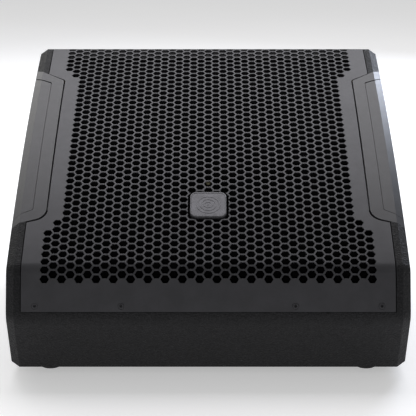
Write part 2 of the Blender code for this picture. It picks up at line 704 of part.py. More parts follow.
def make_grille():
    outer = [front_at(0.0005, 0.0)] + fold_and_slope(0.0) + crest(0.0) + [top_at(GRILLE_FLANGE, 0.0)]
    inner = [front_at(0.0005, SHEET)] + fold_and_slope(SHEET) + crest(SHEET)
    inner += [top_at(GRILLE_FLANGE, SHEET)]
    sheet = slab("grille", outer, inner, -GRILLE_HALF, GRILLE_HALF, GRILLE_PAINT)
    notch = plate("grille_notch_right", trim_outline(NOTCH_GAP), -0.02, 0.10, BAFFLE)
    combine(sheet, notch)
    combine(sheet, mirrored_cutter(notch, "grille_notch_left"))
    window = rectangle(BADGE_SIZE, (0, 0), BADGE_CORNER, BADGE_GAP)
    combine(sheet, plate("badge_window", window, -0.01, 0.01, slope_frame(BADGE_UP)))
    for i, place_x in enumerate(SCREW_X):
        frame = FRONT @ Matrix.Translation((place_x, SCREW_UP, 0.0))
        hole = [(r, z) for r, z in screw_profile(0.0002)]
        hole[0] = (0.0, 0.001)
        hole[1] = (SCREW_HEAD_R + 0.0002, 0.001)
        combine(sheet, turned("countersink", hole, frame, steps=16))
        screw = turned("grille_screw_%d" % (i + 1), screw_profile(0.0), frame, GRILLE_PAINT, 16)
        combine(screw, cylinder("hex_socket", 0.0014, -0.0014, 0.001, frame, steps=6))


def mirrored_cutter(item, name):
    mesh = evaluated_mesh(item)
    mesh.transform(Matrix.Scale(-1, 4, (1, 0, 0)) @ item.matrix_world)
    mesh.flip_normals()
    return place(name, mesh, Matrix.Identity(4))


def make_foam():
    low = FOAM_TOP
    high = FOAM_TOP + FOAM_THICK
    front = FRONT_LENGTH * 0.60

    def run(depth):
        fold = arc(FOLD_CENTRE, FOLD_RADIUS - depth, FRONT_NORMAL, FOLD_NORMAL, 5)
        start = FOLD_NORMAL
        end = SLOPE_START_NORMAL - FOAM_END / SLOPE_RADIUS
        return [front_at(front, depth)] + fold + arc(SLOPE_CENTRE, SLOPE_RADIUS - depth, start, end, 12)[1:]

    sheet = slab("grille_foam", run(low), run(high), -FOAM_HALF, FOAM_HALF, FOAM)
    notch = plate("foam_notch_right", trim_outline(FOAM_CLEAR), -0.03, 0.10, BAFFLE)
    combine(sheet, notch)
    combine(sheet, mirrored_cutter(notch, "foam_notch_left"))
    hole = cylinder("light_hole", 0.0034, -0.02, 0.01, slope_frame(LIGHT_UP), steps=20)
    combine(sheet, hole)


def make_badge():
    """The badge stands in its window on a carrier plate that lies behind the grille."""
    frame = slope_frame(BADGE_UP)
    badge = plate("badge", rectangle(BADGE_SIZE, (0, 0), BADGE_CORNER), -0.0030, BADGE_PROUD, frame,
                  BADGE_FINISH)
    middle = (CARRIER_TOP + CARRIER_BOTTOM) / 2 - BADGE_UP
    size = (2 * CARRIER_HALF, CARRIER_TOP - CARRIER_BOTTOM)
    carrier = plate("carrier", rectangle(size, (0.0, middle), 0.004), -0.0035, -0.0025, frame)
    combine(badge, carrier, 'UNION')
    combine(badge, cylinder("light_bore", 0.0034, -0.02, 0.01, slope_frame(LIGHT_UP), steps=20))
    turned("status_light", [(0.0, -0.0020), (0.0018, -0.0022), (0.0029, -0.0034), (0.0029, -0.011),
                            (0.0, -0.011)], slope_frame(LIGHT_UP), LENS, 20)


# ---------------------------------------------------------------- driver

def half_roll(inner, outer, base, height, thick, steps=4):
    """The section of a surround: two flat lips and a half roll between them."""
    middle = (inner + outer) / 2
    radius = (outer - inner) / 2
    over = arc((middle, base), radius, math.pi, 0.0, steps)
    over = [(r, base + (z - base) * height / radius) for r, z in over]
    under = arc((middle, base - thick), radius - thick, 0.0, math.pi, steps)
    under = [(r, base - thick + (z - base + thick) * height / radius) for r, z in under]
    return [(inner - 0.004, base)] + over + [(outer + 0.006, base), (outer + 0.006, base - thick)] + \
        under + [(inner - 0.004, base - thick)]


def make_woofer():
    basket = turned("woofer_basket", [
        (0.1370, 0.0033), (BASKET_R, 0.0033), (BASKET_R, GAP), (0.1385, GAP), (0.1360, -0.010),
        (0.0960, -0.0640), (0.0780, -0.0840), (0.0350, -0.0840), (0.0350, -0.0815), (0.0765, -0.0815),
        (0.0800, -0.0740), (0.0800, -0.0600), (0.0900, -0.0600), (0.1330, -0.008), (0.1335, 0.0)],
        BAFFLE, BLACK_STEEL, 36)
    for i in range(3):
        turn = Matrix.Rotation(math.radians(60 * i + 30), 4, 'Z')
        combine(basket, box("basket_window", (-0.16, -0.030, -0.057), (0.16, 0.030, -0.014), BAFFLE @ turn))
    turned("woofer_surround", half_roll(0.1170, 0.1335, 0.0052, 0.0065, 0.0008), BAFFLE, RUBBER, STEPS)
    gasket = [(0.1400, 0.0036), (0.1540, 0.0036), (0.1540, 0.0066), (0.1400, 0.0066)]
    turned("woofer_gasket", gasket, BAFFLE, FOAM, STEPS)
    turned("woofer_spider", [(0.0285, -0.0560), (0.0400, -0.0535), (0.0520, -0.0560), (0.0640, -0.0535),
                             (0.0760, -0.0560), (0.0850, -0.0560), (0.0850, -0.0568), (0.0760, -0.0568),
                             (0.0640, -0.0543), (0.0520, -0.0568), (0.0400, -0.0543), (0.0285, -0.0568)],
           BAFFLE, PAPER, 28)
    turned("woofer_top_plate", [(0.0275, -0.0843), (0.0640, -0.0843), (0.0640, -0.0923), (0.0275, -0.0923)],
           BAFFLE, BRIGHT_STEEL, STEPS)
    turned("woofer_magnet", [(0.0320, -0.0926), (MAGNET_R, -0.0926), (MAGNET_R, -0.1126),
                             (0.0320, -0.1126)], BAFFLE, FERRITE, STEPS)
    turned("woofer_back_plate", [(0.0125, -0.0850), (0.0242, -0.0850), (0.0242, -0.1129),
                                 (0.0640, -0.1129), (0.0640, -0.1209), (0.0125, -0.1209)],
           BAFFLE, BRIGHT_STEEL, STEPS)
    turned("woofer_cone", [(0.0272, -0.0490), (0.0700, -0.0200), (0.1125, 0.0030), (0.1125, 0.0018),
                           (0.0700, -0.0214), (0.0272, -0.0506)], BAFFLE, PAPER, STEPS)
    turned("voice_coil", [(0.0254, -0.0470), (0.0266, -0.0470), (0.0266, -0.0980), (0.0254, -0.0980)],
           BAFFLE, COPPER, STEPS)


def make_tweeter():
    turned("hf_horn", [(0.0125, -0.0847), (0.0130, -0.0560), (0.0200, -0.0360), (0.0380, -0.0160),
                       (0.0560, -0.0080), (0.0580, -0.0092), (0.0395, -0.0176), (0.0220, -0.0370),
                       (0.0150, -0.0565), (0.0160, -0.0847)], BAFFLE, BLACK_PLASTIC, 32)
    turned("hf_body", [(0.0125, -0.1212), (0.0420, -0.1212), (0.0420, -0.1500), (0.0330, -0.1500),
                       (0.0330, -0.1400), (0.0125, -0.1340)], BAFFLE, BLACK_STEEL, 32)
    turned("hf_diaphragm", [(0.0, -0.1405), (0.0150, -0.1440), (0.0220, -0.1462), (0.0300, -0.1462),
                            (0.0300, -0.1467), (0.0220, -0.1467), (0.0150, -0.1445), (0.0, -0.1410)],
           BAFFLE, BRIGHT_STEEL, 32)
    cover = [(0.0, -0.1560), (0.0300, -0.1560), (0.0300, -0.1503), (0.0420, -0.1503), (0.0420, -0.1580),
             (0.0400, -0.1600), (0.0, -0.1600)]
    turned("hf_cover", cover, BAFFLE, BLACK_STEEL, 32)


# ---------------------------------------------------------------- amplifier

def at(place_xy, frame=REAR):
    return frame @ Matrix.Translation((place_xy[0], place_xy[1], 0.0))


def moved(ring, place_xy):
    return [(x + place_xy[0], y + place_xy[1]) for x, y in ring]


def make_amp_panel():
    holes = [circle(INPUT_AT, SOCKET_R + GAP), circle(LINK_AT, SOCKET_R + GAP), circle(KNOB_AT, 0.0037, 16),
             circle(BUTTON_AT, 0.0034, 16), moved(rectangle((0.0100, 0.0060)), SLIDER_AT),
             moved(rectangle((0.0064, 0.0040)), (INPUT_AT[0], INPUT_AT[1] + 0.0152)),
             moved(rectangle((0.0124, 0.0274)), POWER_AT), moved(rectangle((0.0276, 0.0206)), INLET_AT)]
    plate("amp_panel", rectangle(AMP_SIZE, (0.0, AMP_HEIGHT), 0.006), -AMP_THICK, 0.0, REAR, PANEL_PAINT,
          holes)


def make_amp_inside():
    back = -AMP_THICK - GAP
    low = (-TRAY_SIZE[0] / 2, AMP_HEIGHT - TRAY_SIZE[1] / 2)
    high = (TRAY_SIZE[0] / 2, AMP_HEIGHT + TRAY_SIZE[1] / 2)
    tray = box("amp_chassis", (*low, back - TRAY_DEEP), (*high, back), REAR, BRIGHT_STEEL)
    inside = [(low[0] + TRAY_WALL, low[1] + TRAY_WALL, back - TRAY_DEEP + TRAY_WALL),
              (high[0] - TRAY_WALL, high[1] - TRAY_WALL, back + 0.01)]
    combine(tray, box("tray_space", *inside, REAR))
    floor = back - TRAY_DEEP + TRAY_WALL
    box("amp_board", (-0.132, 0.082, floor + 0.006), (0.005, 0.248, floor + 0.0076), REAR, GREEN_BOARD)
    box("power_board", (0.015, 0.082, floor + 0.006), (0.130, 0.150, floor + 0.0076), REAR, GREEN_BOARD)
    ring = [(0.014, floor + GAP), (0.040, floor + GAP), (0.044, floor + 0.006), (0.044, floor + 0.026),
            (0.040, floor + 0.032), (0.014, floor + 0.032)]
    turned("transformer", ring, at((0.075, 0.202)), COPPER, 28)


def make_heat_sink():
    """A comb of upright fins on a base, drawn from above and extruded upwards."""
    fins = 19
    width, height = SINK_SIZE
    pitch = width / (fins - 1 + 0.3)
    fin = pitch * 0.3
    low_y = REAR_FACE_Y + GAP
    base_y = low_y + 0.002
    tip_y = low_y + 0.009
    right = -SINK_AT[0] + width / 2
    outline = [(right - width, low_y), (right, low_y)]
    for i in range(fins):
        x = right - i * pitch
        outline += [(x, base_y), (x, tip_y), (x - fin, tip_y), (x - fin, base_y)]
    outline = [p for i, p in enumerate(outline) if i not in (2, len(outline) - 1)]
    plate("heat_sink", outline, SINK_AT[1] - height / 2, SINK_AT[1] + height / 2, FLOOR, PANEL_PAINT)


def socket_flange(name, place_xy, height):
    frame = at(place_xy)
    flange = plate(name, rectangle((0.026, height), (0, 0), 0.003), GAP, 0.0022, frame, BLACK_PLASTIC)
    combine(flange, cylinder(name + "_barrel", SOCKET_R, -0.024, 0.0015, frame, steps=32), 'UNION')
    return flange


def make_sockets():
    frame = at(INPUT_AT)
    combo = socket_flange("input_socket", INPUT_AT, 0.036)
    combine(combo, cylinder("combo_recess", 0.0096, -0.005, 0.01, frame, steps=32))
    combine(combo, cylinder("jack_bore", 0.0033, -0.020, 0.0, frame, steps=16))
    for angle in (90, 210, 330):
        pin = (0.0062 * math.cos(math.radians(angle)), 0.0062 * math.sin(math.radians(angle)), 0.0)
        combine(combo, cylinder("pin_bore", 0.0013, -0.016, 0.0, frame @ Matrix.Translation(pin), steps=10))
    combine(combo, box("tab_slot", (-0.0032, 0.0132, -0.01), (0.0032, 0.0172, 0.01), frame))
    tab = box("input_release_tab", (-0.0028, -0.0016, 0.0), (0.0028, 0.0016, 0.0062),
              frame @ Matrix.Translation((0, 0.0152, -0.0007)), BRIGHT_STEEL)
    bevel(tab, 0.0005, 1)

    frame = at(LINK_AT)
    link = socket_flange("link_socket", LINK_AT, 0.031)
    combine(link, cylinder("link_recess", 0.0096, -0.014, 0.01, frame, steps=32))
    for angle in (90, 210, 330):
        pin = (0.0050 * math.cos(math.radians(angle)), 0.0050 * math.sin(math.radians(angle)), 0.0)
        combine(link, cylinder("link_pin", 0.0011, -0.0145, -0.0055, frame @ Matrix.Translation(pin),
                               steps=10), 'UNION')

    frame = at(INLET_AT)
    inlet = plate("mains_inlet", rectangle((0.034, 0.027), (0, 0), 0.003), GAP, 0.0022, frame, BLACK_PLASTIC)
    combine(inlet, box("inlet_barrel", (-0.0135, -0.0100, -0.020), (0.0135, 0.0100, 0.0015), frame), 'UNION')
    combine(inlet, plate("inlet_recess", rectangle((0.0244, 0.0166), (0, 0), 0.002), -0.0155, 0.01, frame))
    for blade_x, blade_y in ((-0.007, -0.002), (0.0, 0.003), (0.007, -0.002)):
        combine(inlet, box("blade", (blade_x - 0.001, blade_y - 0.002, -0.0160),
                           (blade_x + 0.001, blade_y + 0.002, -0.0058), frame), 'UNION')


def make_controls():
    frame = at(KNOB_AT)
    back = -AMP_THICK - GAP
    turned("gain_control", [(0.0021, 0.0012), (0.0034, 0.0012), (0.0034, back), (0.0085, back),
                            (0.0085, -0.0140), (0.0, -0.0140), (0.0, -0.0110), (0.0021, -0.0110)],
           frame, BLACK_STEEL, 24)
    knob = turned("gain_knob", [(0.0, -0.0100), (0.0020, -0.0100), (0.0020, 0.0016), (0.0088, 0.0016),
                                (0.0088, 0.0030), (0.0078, 0.0088), (0.0072, 0.0094), (0.0, 0.0094)],
                  frame, BLACK_PLASTIC, 24)
    combine(knob, box("pointer", (-0.0006, 0.0030, 0.0088), (0.0006, 0.0110, 0.0120), frame))

    frame = at(SLIDER_AT)
    body = box("eq_switch", (-0.0090, -0.0050, -0.0125), (0.0090, 0.0050, back), frame, BRIGHT_STEEL)
    combine(body, box("eq_slot", (-0.0048, -0.0026, -0.0060), (0.0048, 0.0026, 0.01), frame))
    start = Matrix.Translation((-SLIDER_TRAVEL / 2, 0, 0))
    slider = box("eq_slider", (-0.0022, -0.0023, -0.0056), (0.0022, 0.0023, 0.0024), frame @ start,
                 GREY_CONTROL)
    bevel(slider, 0.0004, 1)

    frame = at(BUTTON_AT)
    switch = box("lift_switch", (-0.0055, -0.0055, -0.0140), (0.0055, 0.0055, back), frame, BLACK_PLASTIC)
    combine(switch, cylinder("button_bore", 0.0034, -0.0085, 0.01, frame, steps=20))
    turned("lift_button", [(0.0, -0.0060), (0.0029, -0.0060), (0.0029, 0.0036), (0.0024, 0.0042),
                           (0.0, 0.0042)], frame, GREY_CONTROL, 20)

    frame = at(POWER_AT)
    rim = plate("power_switch", rectangle((0.0150, 0.0310), (0, 0), 0.002), GAP, 0.0020, frame,
                BLACK_PLASTIC)
    combine(rim, box("power_barrel", (-0.0059, -0.0134, -0.0180), (0.0059, 0.0134, 0.0015), frame), 'UNION')
    combine(rim, box("rocker_space", (-0.0047, -0.0124, -0.0120), (0.0047, 0.0124, 0.01), frame))
    pivot = frame @ Matrix.Translation((0, 0, -0.0030)) @ Matrix.Rotation(ROCKER_TILT, 4, 'X')
    upright = Matrix(((0, 0, 1, 0), (1, 0, 0, 0), (0, 1, 0, 0), (0, 0, 0, 1)))
    outline = [(-0.0110, 0.0050), (0.0, 0.0032), (0.0110, 0.0050), (0.0112, 0.0), (0.0070, -0.0050),
               (-0.0070, -0.0050), (-0.0112, 0.0)]
    plate("power_rocker", outline, -0.0043, 0.0043, pivot @ upright, GREY_CONTROL)


def shade_round_pieces():
    for item in PARTS.objects:
        item.data.shade_smooth()
        item.data.set_sharp_from_angle(angle=math.radians(35))


make_sides()
make_handles()
make_front()
make_bottom()
make_top()
make_back()
make_baffle()
make_ports()
make_damping()
make_feet()
make_grille()
make_foam()
make_badge()
make_woofer()
make_tweeter()
make_amp_panel()
make_amp_inside()
make_heat_sink()
make_sockets()
make_controls()
shade_round_pieces()
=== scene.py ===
"""Stage monitor wedge: finishes, perforated grille and fine detail over the CAD frame. Metres, +Z up."""

import json
import math
import random

import bmesh
import bpy
from mathutils import Matrix, Vector, geometry

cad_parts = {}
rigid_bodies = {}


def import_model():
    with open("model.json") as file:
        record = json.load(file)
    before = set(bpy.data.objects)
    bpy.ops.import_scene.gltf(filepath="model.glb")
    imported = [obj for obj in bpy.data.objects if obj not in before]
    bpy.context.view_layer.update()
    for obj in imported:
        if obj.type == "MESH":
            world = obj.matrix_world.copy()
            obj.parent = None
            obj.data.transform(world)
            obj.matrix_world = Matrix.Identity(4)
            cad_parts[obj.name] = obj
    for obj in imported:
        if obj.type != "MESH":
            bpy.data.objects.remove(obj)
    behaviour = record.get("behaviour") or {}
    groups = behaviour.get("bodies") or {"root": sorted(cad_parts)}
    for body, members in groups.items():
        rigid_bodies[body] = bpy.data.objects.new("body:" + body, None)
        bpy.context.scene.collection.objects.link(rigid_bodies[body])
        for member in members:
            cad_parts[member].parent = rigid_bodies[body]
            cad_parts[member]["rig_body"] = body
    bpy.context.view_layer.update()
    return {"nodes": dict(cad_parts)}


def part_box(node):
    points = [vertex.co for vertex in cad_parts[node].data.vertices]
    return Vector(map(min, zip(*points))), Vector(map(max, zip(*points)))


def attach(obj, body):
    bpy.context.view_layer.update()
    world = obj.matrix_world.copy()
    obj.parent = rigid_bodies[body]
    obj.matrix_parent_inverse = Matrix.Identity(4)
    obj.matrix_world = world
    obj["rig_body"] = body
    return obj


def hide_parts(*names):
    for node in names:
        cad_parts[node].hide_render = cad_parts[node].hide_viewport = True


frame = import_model()
NODES = frame["nodes"]
RANDOM = random.Random(7)

# ---------------------------------------------------------------- dimensions, most of them the CAD part's

WIDTH, DEPTH, FLOOR_Z = 0.480, 0.456, 0.010
INNER_X, CHAMFER_ACROSS = 0.2223, 0.010
FRONT_NORMAL = math.radians(162.0)
SLOPE_START_NORMAL = math.radians(122.8)
SLOPE_END_NORMAL = math.radians(109.0)
TOP_NORMAL = math.radians(78.0)
NOSE_RADIUS, NOSE_HEIGHT, FRONT_LENGTH = 0.023, 0.0745, 0.0528
FOLD_RADIUS, SLOPE_RADIUS, CREST_RADIUS = 0.022, 1.860, 0.012
SHEET, GRILLE_HALF, GRILLE_FLANGE = 0.0015, 0.2212, 0.014
SCREW_X, SCREW_UP = (-0.205, -0.103, 0.103, 0.205), 0.0075
BADGE_UP, BADGE_SIZE, BADGE_CORNER, BADGE_GAP = 0.1013, (0.045, 0.0434), 0.008, 0.0027
BADGE_PROUD = 0.0018
LIGHT_UP, LIGHT_BORE_R = 0.1437, 0.0034
CARRIER_HALF, CARRIER_MIDDLE, CARRIER_CORNER = (0.031, 0.0380), 0.0107, 0.004
CARRIER_DEPTHS = (-0.0030, -0.0035)
FOAM_TOP, FOAM_THICK, FOAM_HALF, FOAM_END, FOAM_GAP = 0.0038, 0.005, 0.2155, 0.4215, 0.0165
TRIM_INNER_X, TRIM_LOW, TRIM_HIGH = 0.199, (0.0650, 0.0813), (0.4101, 0.3858, 0.3629)
TRIM_CORNERS = (0.018, 0.006)
POCKET_X = 0.189

# How far the grille's notch stands off the trim: beside it, below it and above it
NOTCH_GAPS = (0.0019, 0.0021, 0.0005)
SINK_RADIUS = 0.0040

# The gap over each grip, as (x, distance up the slope) at its lower edge, and its clear height
GRIP_GAP_ROWS = ((0.2162, 0.3556), (0.2200, 0.3577), (0.2250, 0.3604), (0.2300, 0.3631),
                 (0.2335, 0.3674), (0.2365, 0.3711), (0.2392, 0.3744))
GRIP_GAP_SPAN = (0.0002, 0.0021)
CHAMFER_SLOPE = 0.7

DRIVER_UP, BAFFLE_DEEP = 0.235, 0.038
REAR_FACE_Y = 0.2173
FOOT_X, FOOT_Y = 0.195, (-0.165, 0.184)

# Places on the rear panel: X to the right and Y up as seen from behind
INPUT_AT, LINK_AT = (-0.112, 0.222), (-0.066, 0.222)
KNOB_AT, SLIDER_AT, LAMP_AT = (-0.112, 0.168), (-0.066, 0.168), (-0.030, 0.222)
PANEL_SCREW_X, PANEL_SCREW_Y = (-0.142, 0.0, 0.142), (0.072, 0.165, 0.258)

# Perforation: hexagons on a lattice, measured along the unfolded sheet from the fold
HOLE_SPACING = 0.0204
ROW_STEP = 0.005636
FOLD_ROW = 70.69
HOLE_RADIUS = 0.00556
HOLE_SQUEEZE = 0.955
RIM = 0.00022


def polar(centre, radius, angle):
    return (centre[0] + radius * math.cos(angle), centre[1] + radius * math.sin(angle))


def arc(centre, radius, start, end, steps):
    return [polar(centre, radius, start + (end - start) * i / steps) for i in range(steps + 1)]


def rounded(corners, steps=4):
    """An outline from (x, y, corner radius) points."""
    points = []
    for i, (x, y, radius) in enumerate(corners):
        here = Vector((x, y))
        before = (Vector(corners[i - 1][:2]) - here).normalized()
        after = (Vector(corners[(i + 1) % len(corners)][:2]) - here).normalized()
        if radius <= 0:
            points.append((x, y))
            continue
        half = before.angle(after) / 2
        middle = here + (before + after).normalized() * radius / math.sin(half)
        first = here + before * radius / math.tan(half) - middle
        last = here + after * radius / math.tan(half) - middle
        start = math.atan2(first.y, first.x)
        turn = math.remainder(math.atan2(last.y, last.x) - start, math.tau)
        points += arc(middle, radius, start, start + turn, steps)
    return points


NOSE_CENTRE = (-DEPTH / 2 + NOSE_RADIUS, FLOOR_Z + NOSE_HEIGHT)
GRILLE_FOOT = polar(NOSE_CENTRE, NOSE_RADIUS, FRONT_NORMAL)
FRONT_UP = (math.cos(FRONT_NORMAL - math.pi / 2), math.sin(FRONT_NORMAL - math.pi / 2))
FOLD_POINT = (GRILLE_FOOT[0] + FRONT_LENGTH * FRONT_UP[0], GRILLE_FOOT[1] + FRONT_LENGTH * FRONT_UP[1])
SLOPE_CENTRE = polar(FOLD_POINT, -SLOPE_RADIUS, SLOPE_START_NORMAL)


def fold_rise():
    """How far up the front face the fold's arc begins."""
    start = polar(GRILLE_FOOT, -FOLD_RADIUS, FRONT_NORMAL)
    reach = SLOPE_RADIUS - FOLD_RADIUS
    off_y, off_z = start[0] - SLOPE_CENTRE[0], start[1] - SLOPE_CENTRE[1]
    along = off_y * FRONT_UP[0] + off_z * FRONT_UP[1]
    return -along + math.sqrt(along ** 2 - off_y ** 2 - off_z ** 2 + reach ** 2)


FOLD_RISE = fold_rise()
FOLD_CENTRE = polar((GRILLE_FOOT[0] + FOLD_RISE * FRONT_UP[0], GRILLE_FOOT[1] + FOLD_RISE * FRONT_UP[1]),
                    -FOLD_RADIUS, FRONT_NORMAL)
FOLD_NORMAL = math.atan2(FOLD_CENTRE[1] - SLOPE_CENTRE[1], FOLD_CENTRE[0] - SLOPE_CENTRE[0])
CREST_CENTRE = polar(SLOPE_CENTRE, SLOPE_RADIUS - CREST_RADIUS, SLOPE_END_NORMAL)
TOP_ALONG = (math.cos(TOP_NORMAL - math.pi / 2), math.sin(TOP_NORMAL - math.pi / 2))

# Distances along the unfolded sheet, 0 at the fold's corner and positive up the slope
S_FOLD_END = (SLOPE_START_NORMAL - FOLD_NORMAL) * SLOPE_RADIUS
S_FOLD_START = S_FOLD_END - FOLD_RADIUS * (FRONT_NORMAL - FOLD_NORMAL)
S_FOOT = S_FOLD_START - FOLD_RISE + 0.0005
S_SLOPE_END = (SLOPE_START_NORMAL - SLOPE_END_NORMAL) * SLOPE_RADIUS
S_CREST_END = S_SLOPE_END + CREST_RADIUS * (SLOPE_END_NORMAL - TOP_NORMAL)
S_TOP = S_CREST_END + GRILLE_FLANGE


def sheet_point(s, depth=0.0):
    """(y, z) on the grille's run at a distance s along the sheet and so deep under its face."""
    if s < S_FOLD_START:
        up = s - S_FOLD_START + FOLD_RISE
        along = (GRILLE_FOOT[0] + up * FRONT_UP[0], GRILLE_FOOT[1] + up * FRONT_UP[1])
        return polar(along, -depth, FRONT_NORMAL)
    if s < S_FOLD_END:
        return polar(FOLD_CENTRE, FOLD_RADIUS - depth, FRONT_NORMAL - (s - S_FOLD_START) / FOLD_RADIUS)
    if s < S_SLOPE_END:
        return polar(SLOPE_CENTRE, SLOPE_RADIUS - depth, SLOPE_START_NORMAL - s / SLOPE_RADIUS)
    if s < S_CREST_END:
        return polar(CREST_CENTRE, CREST_RADIUS - depth, SLOPE_END_NORMAL - (s - S_SLOPE_END) / CREST_RADIUS)
    start = polar(CREST_CENTRE, CREST_RADIUS - depth, TOP_NORMAL)
    back = s - S_CREST_END
    return (start[0] + back * TOP_ALONG[0], start[1] + back * TOP_ALONG[1])


DRIVER_TILT = SLOPE_START_NORMAL - DRIVER_UP / SLOPE_RADIUS - math.pi / 2
BAFFLE = Matrix.Translation((0, *sheet_point(DRIVER_UP, BAFFLE_DEEP))) @ Matrix.Rotation(DRIVER_TILT, 4, 'X')
FRONT = Matrix.Translation((0, *GRILLE_FOOT)) @ Matrix.Rotation(FRONT_NORMAL - math.pi / 2, 4, 'X')
REAR = Matrix(((-1, 0, 0, 0), (0, 0, 1, REAR_FACE_Y), (0, 1, 0, 0), (0, 0, 0, 1)))


def slope_frame(up):
    """On the sloping face at X 0, with Y up the slope and Z out of the cabinet."""
    angle = SLOPE_START_NORMAL - up / SLOPE_RADIUS - math.pi / 2
    return Matrix.Translation((0, *sheet_point(up))) @ Matrix.Rotation(angle, 4, 'X')


def plan_y(up):
    y, z = sheet_point(up)
    return (BAFFLE.inverted() @ Vector((0, y, z))).y


def up_at_plan(target):
    """The distance up the slope whose place along the baffle frame's Y is the target."""
    low, high = 0.0, 0.44
    for _ in range(30):
        middle = (low + high) / 2
        if plan_y(middle) < target:
            low = middle
        else:
            high = middle
    return (low + high) / 2


def trim_outline(side, below, above):
    """The handle trim's outline as (x, distance up the slope), with a gap beside, below and above it."""
    outside = WIDTH / 2 + 0.010
    outline = rounded([
        (outside, plan_y(TRIM_LOW[0]) - below, 0.0),
        (outside, plan_y(TRIM_HIGH[0]) + above, 0.0),
        (WIDTH / 2 - CHAMFER_ACROSS, plan_y(TRIM_HIGH[1]) + above, 0.003),
        (TRIM_INNER_X - side, plan_y(TRIM_HIGH[2]) + above, TRIM_CORNERS[1]),
        (TRIM_INNER_X - side, plan_y(TRIM_LOW[1]) - below, TRIM_CORNERS[0]),
    ], 8)
    return [(x, up_at_plan(y)) for x, y in outline]


# ---------------------------------------------------------------- finishes

def node(tree, kind, **values):
    """A new node: in_ values set its sockets, and the others its own settings."""
    made = tree.nodes.new(kind)
    for key, value in values.items():
        if key.startswith("in_"):
            made.inputs[key[3:].replace("_", " ")].default_value = value
        else:
            setattr(made, key, value)
    return made


def grain(tree, coords, kind, scale, stretch=(1, 1, 1)):
    """A greyscale pattern with features of about 1 / scale metres."""
    source = coords
    if tuple(stretch) != (1, 1, 1):
        spread = node(tree, "ShaderNodeMapping")
        spread.inputs["Scale"].default_value = stretch
        tree.links.new(coords, spread.inputs["Vector"])
        source = spread.outputs["Vector"]
    if kind == "cells":
        made = node(tree, "ShaderNodeTexVoronoi", in_Scale=scale)
        made.feature = 'SMOOTH_F1'
        made.inputs["Smoothness"].default_value = 0.6
        out = made.outputs["Distance"]
    else:
        detail = {"fine": 1.0, "cloud": 4.0, "rough": 8.0}[kind]
        made = node(tree, "ShaderNodeTexNoise", in_Scale=scale, in_Detail=detail, in_Roughness=0.6)
        out = made.outputs["Fac"]
    tree.links.new(source, made.inputs["Vector"])
    return out


def finish(name, dark, light, tone, rough, rough_grain, bumps, metallic=0.0, **extra):
    """A material whose colour runs between two tones, with varied roughness and layers of surface grain.

    tone and rough_grain are (kind, scale) and bumps are (kind, scale, strength, depth, stretch) rows.
    """
    made = bpy.data.materials.new("look_" + name)
    made.use_nodes = True
    tree = made.node_tree
    shader = tree.nodes["Principled BSDF"]
    coords = node(tree, "ShaderNodeTexCoord").outputs["Object"]
    ramp = node(tree, "ShaderNodeValToRGB")
    ramp.color_ramp.elements[0].position = 0.35
    ramp.color_ramp.elements[0].color = (*dark, 1)
    ramp.color_ramp.elements[1].position = 0.68
    ramp.color_ramp.elements[1].color = (*light, 1)
    tree.links.new(grain(tree, coords, *tone), ramp.inputs["Fac"])
    tree.links.new(ramp.outputs["Color"], shader.inputs["Base Color"])
    spread = node(tree, "ShaderNodeMapRange")
    spread.inputs["From Min"].default_value = 0.3
    spread.inputs["From Max"].default_value = 0.7
    spread.inputs["To Min"].default_value = rough[0]
    spread.inputs["To Max"].default_value = rough[1]
    tree.links.new(grain(tree, coords, *rough_grain), spread.inputs["Value"])
    tree.links.new(spread.outputs["Result"], shader.inputs["Roughness"])
    normal = None
    for kind, scale, strength, depth, *stretch in bumps:
        bump = node(tree, "ShaderNodeBump", in_Strength=strength, in_Distance=depth)
        tree.links.new(grain(tree, coords, kind, scale, *stretch), bump.inputs["Height"])
        if normal:
            tree.links.new(normal, bump.inputs["Normal"])
        normal = bump.outputs["Normal"]
    if normal:
        tree.links.new(normal, shader.inputs["Normal"])
    shader.inputs["Metallic"].default_value = metallic
    for key, value in extra.items():
        shader.inputs[key.replace("_", " ")].default_value = value
    made.diffuse_color = (*light, 1)
    return made


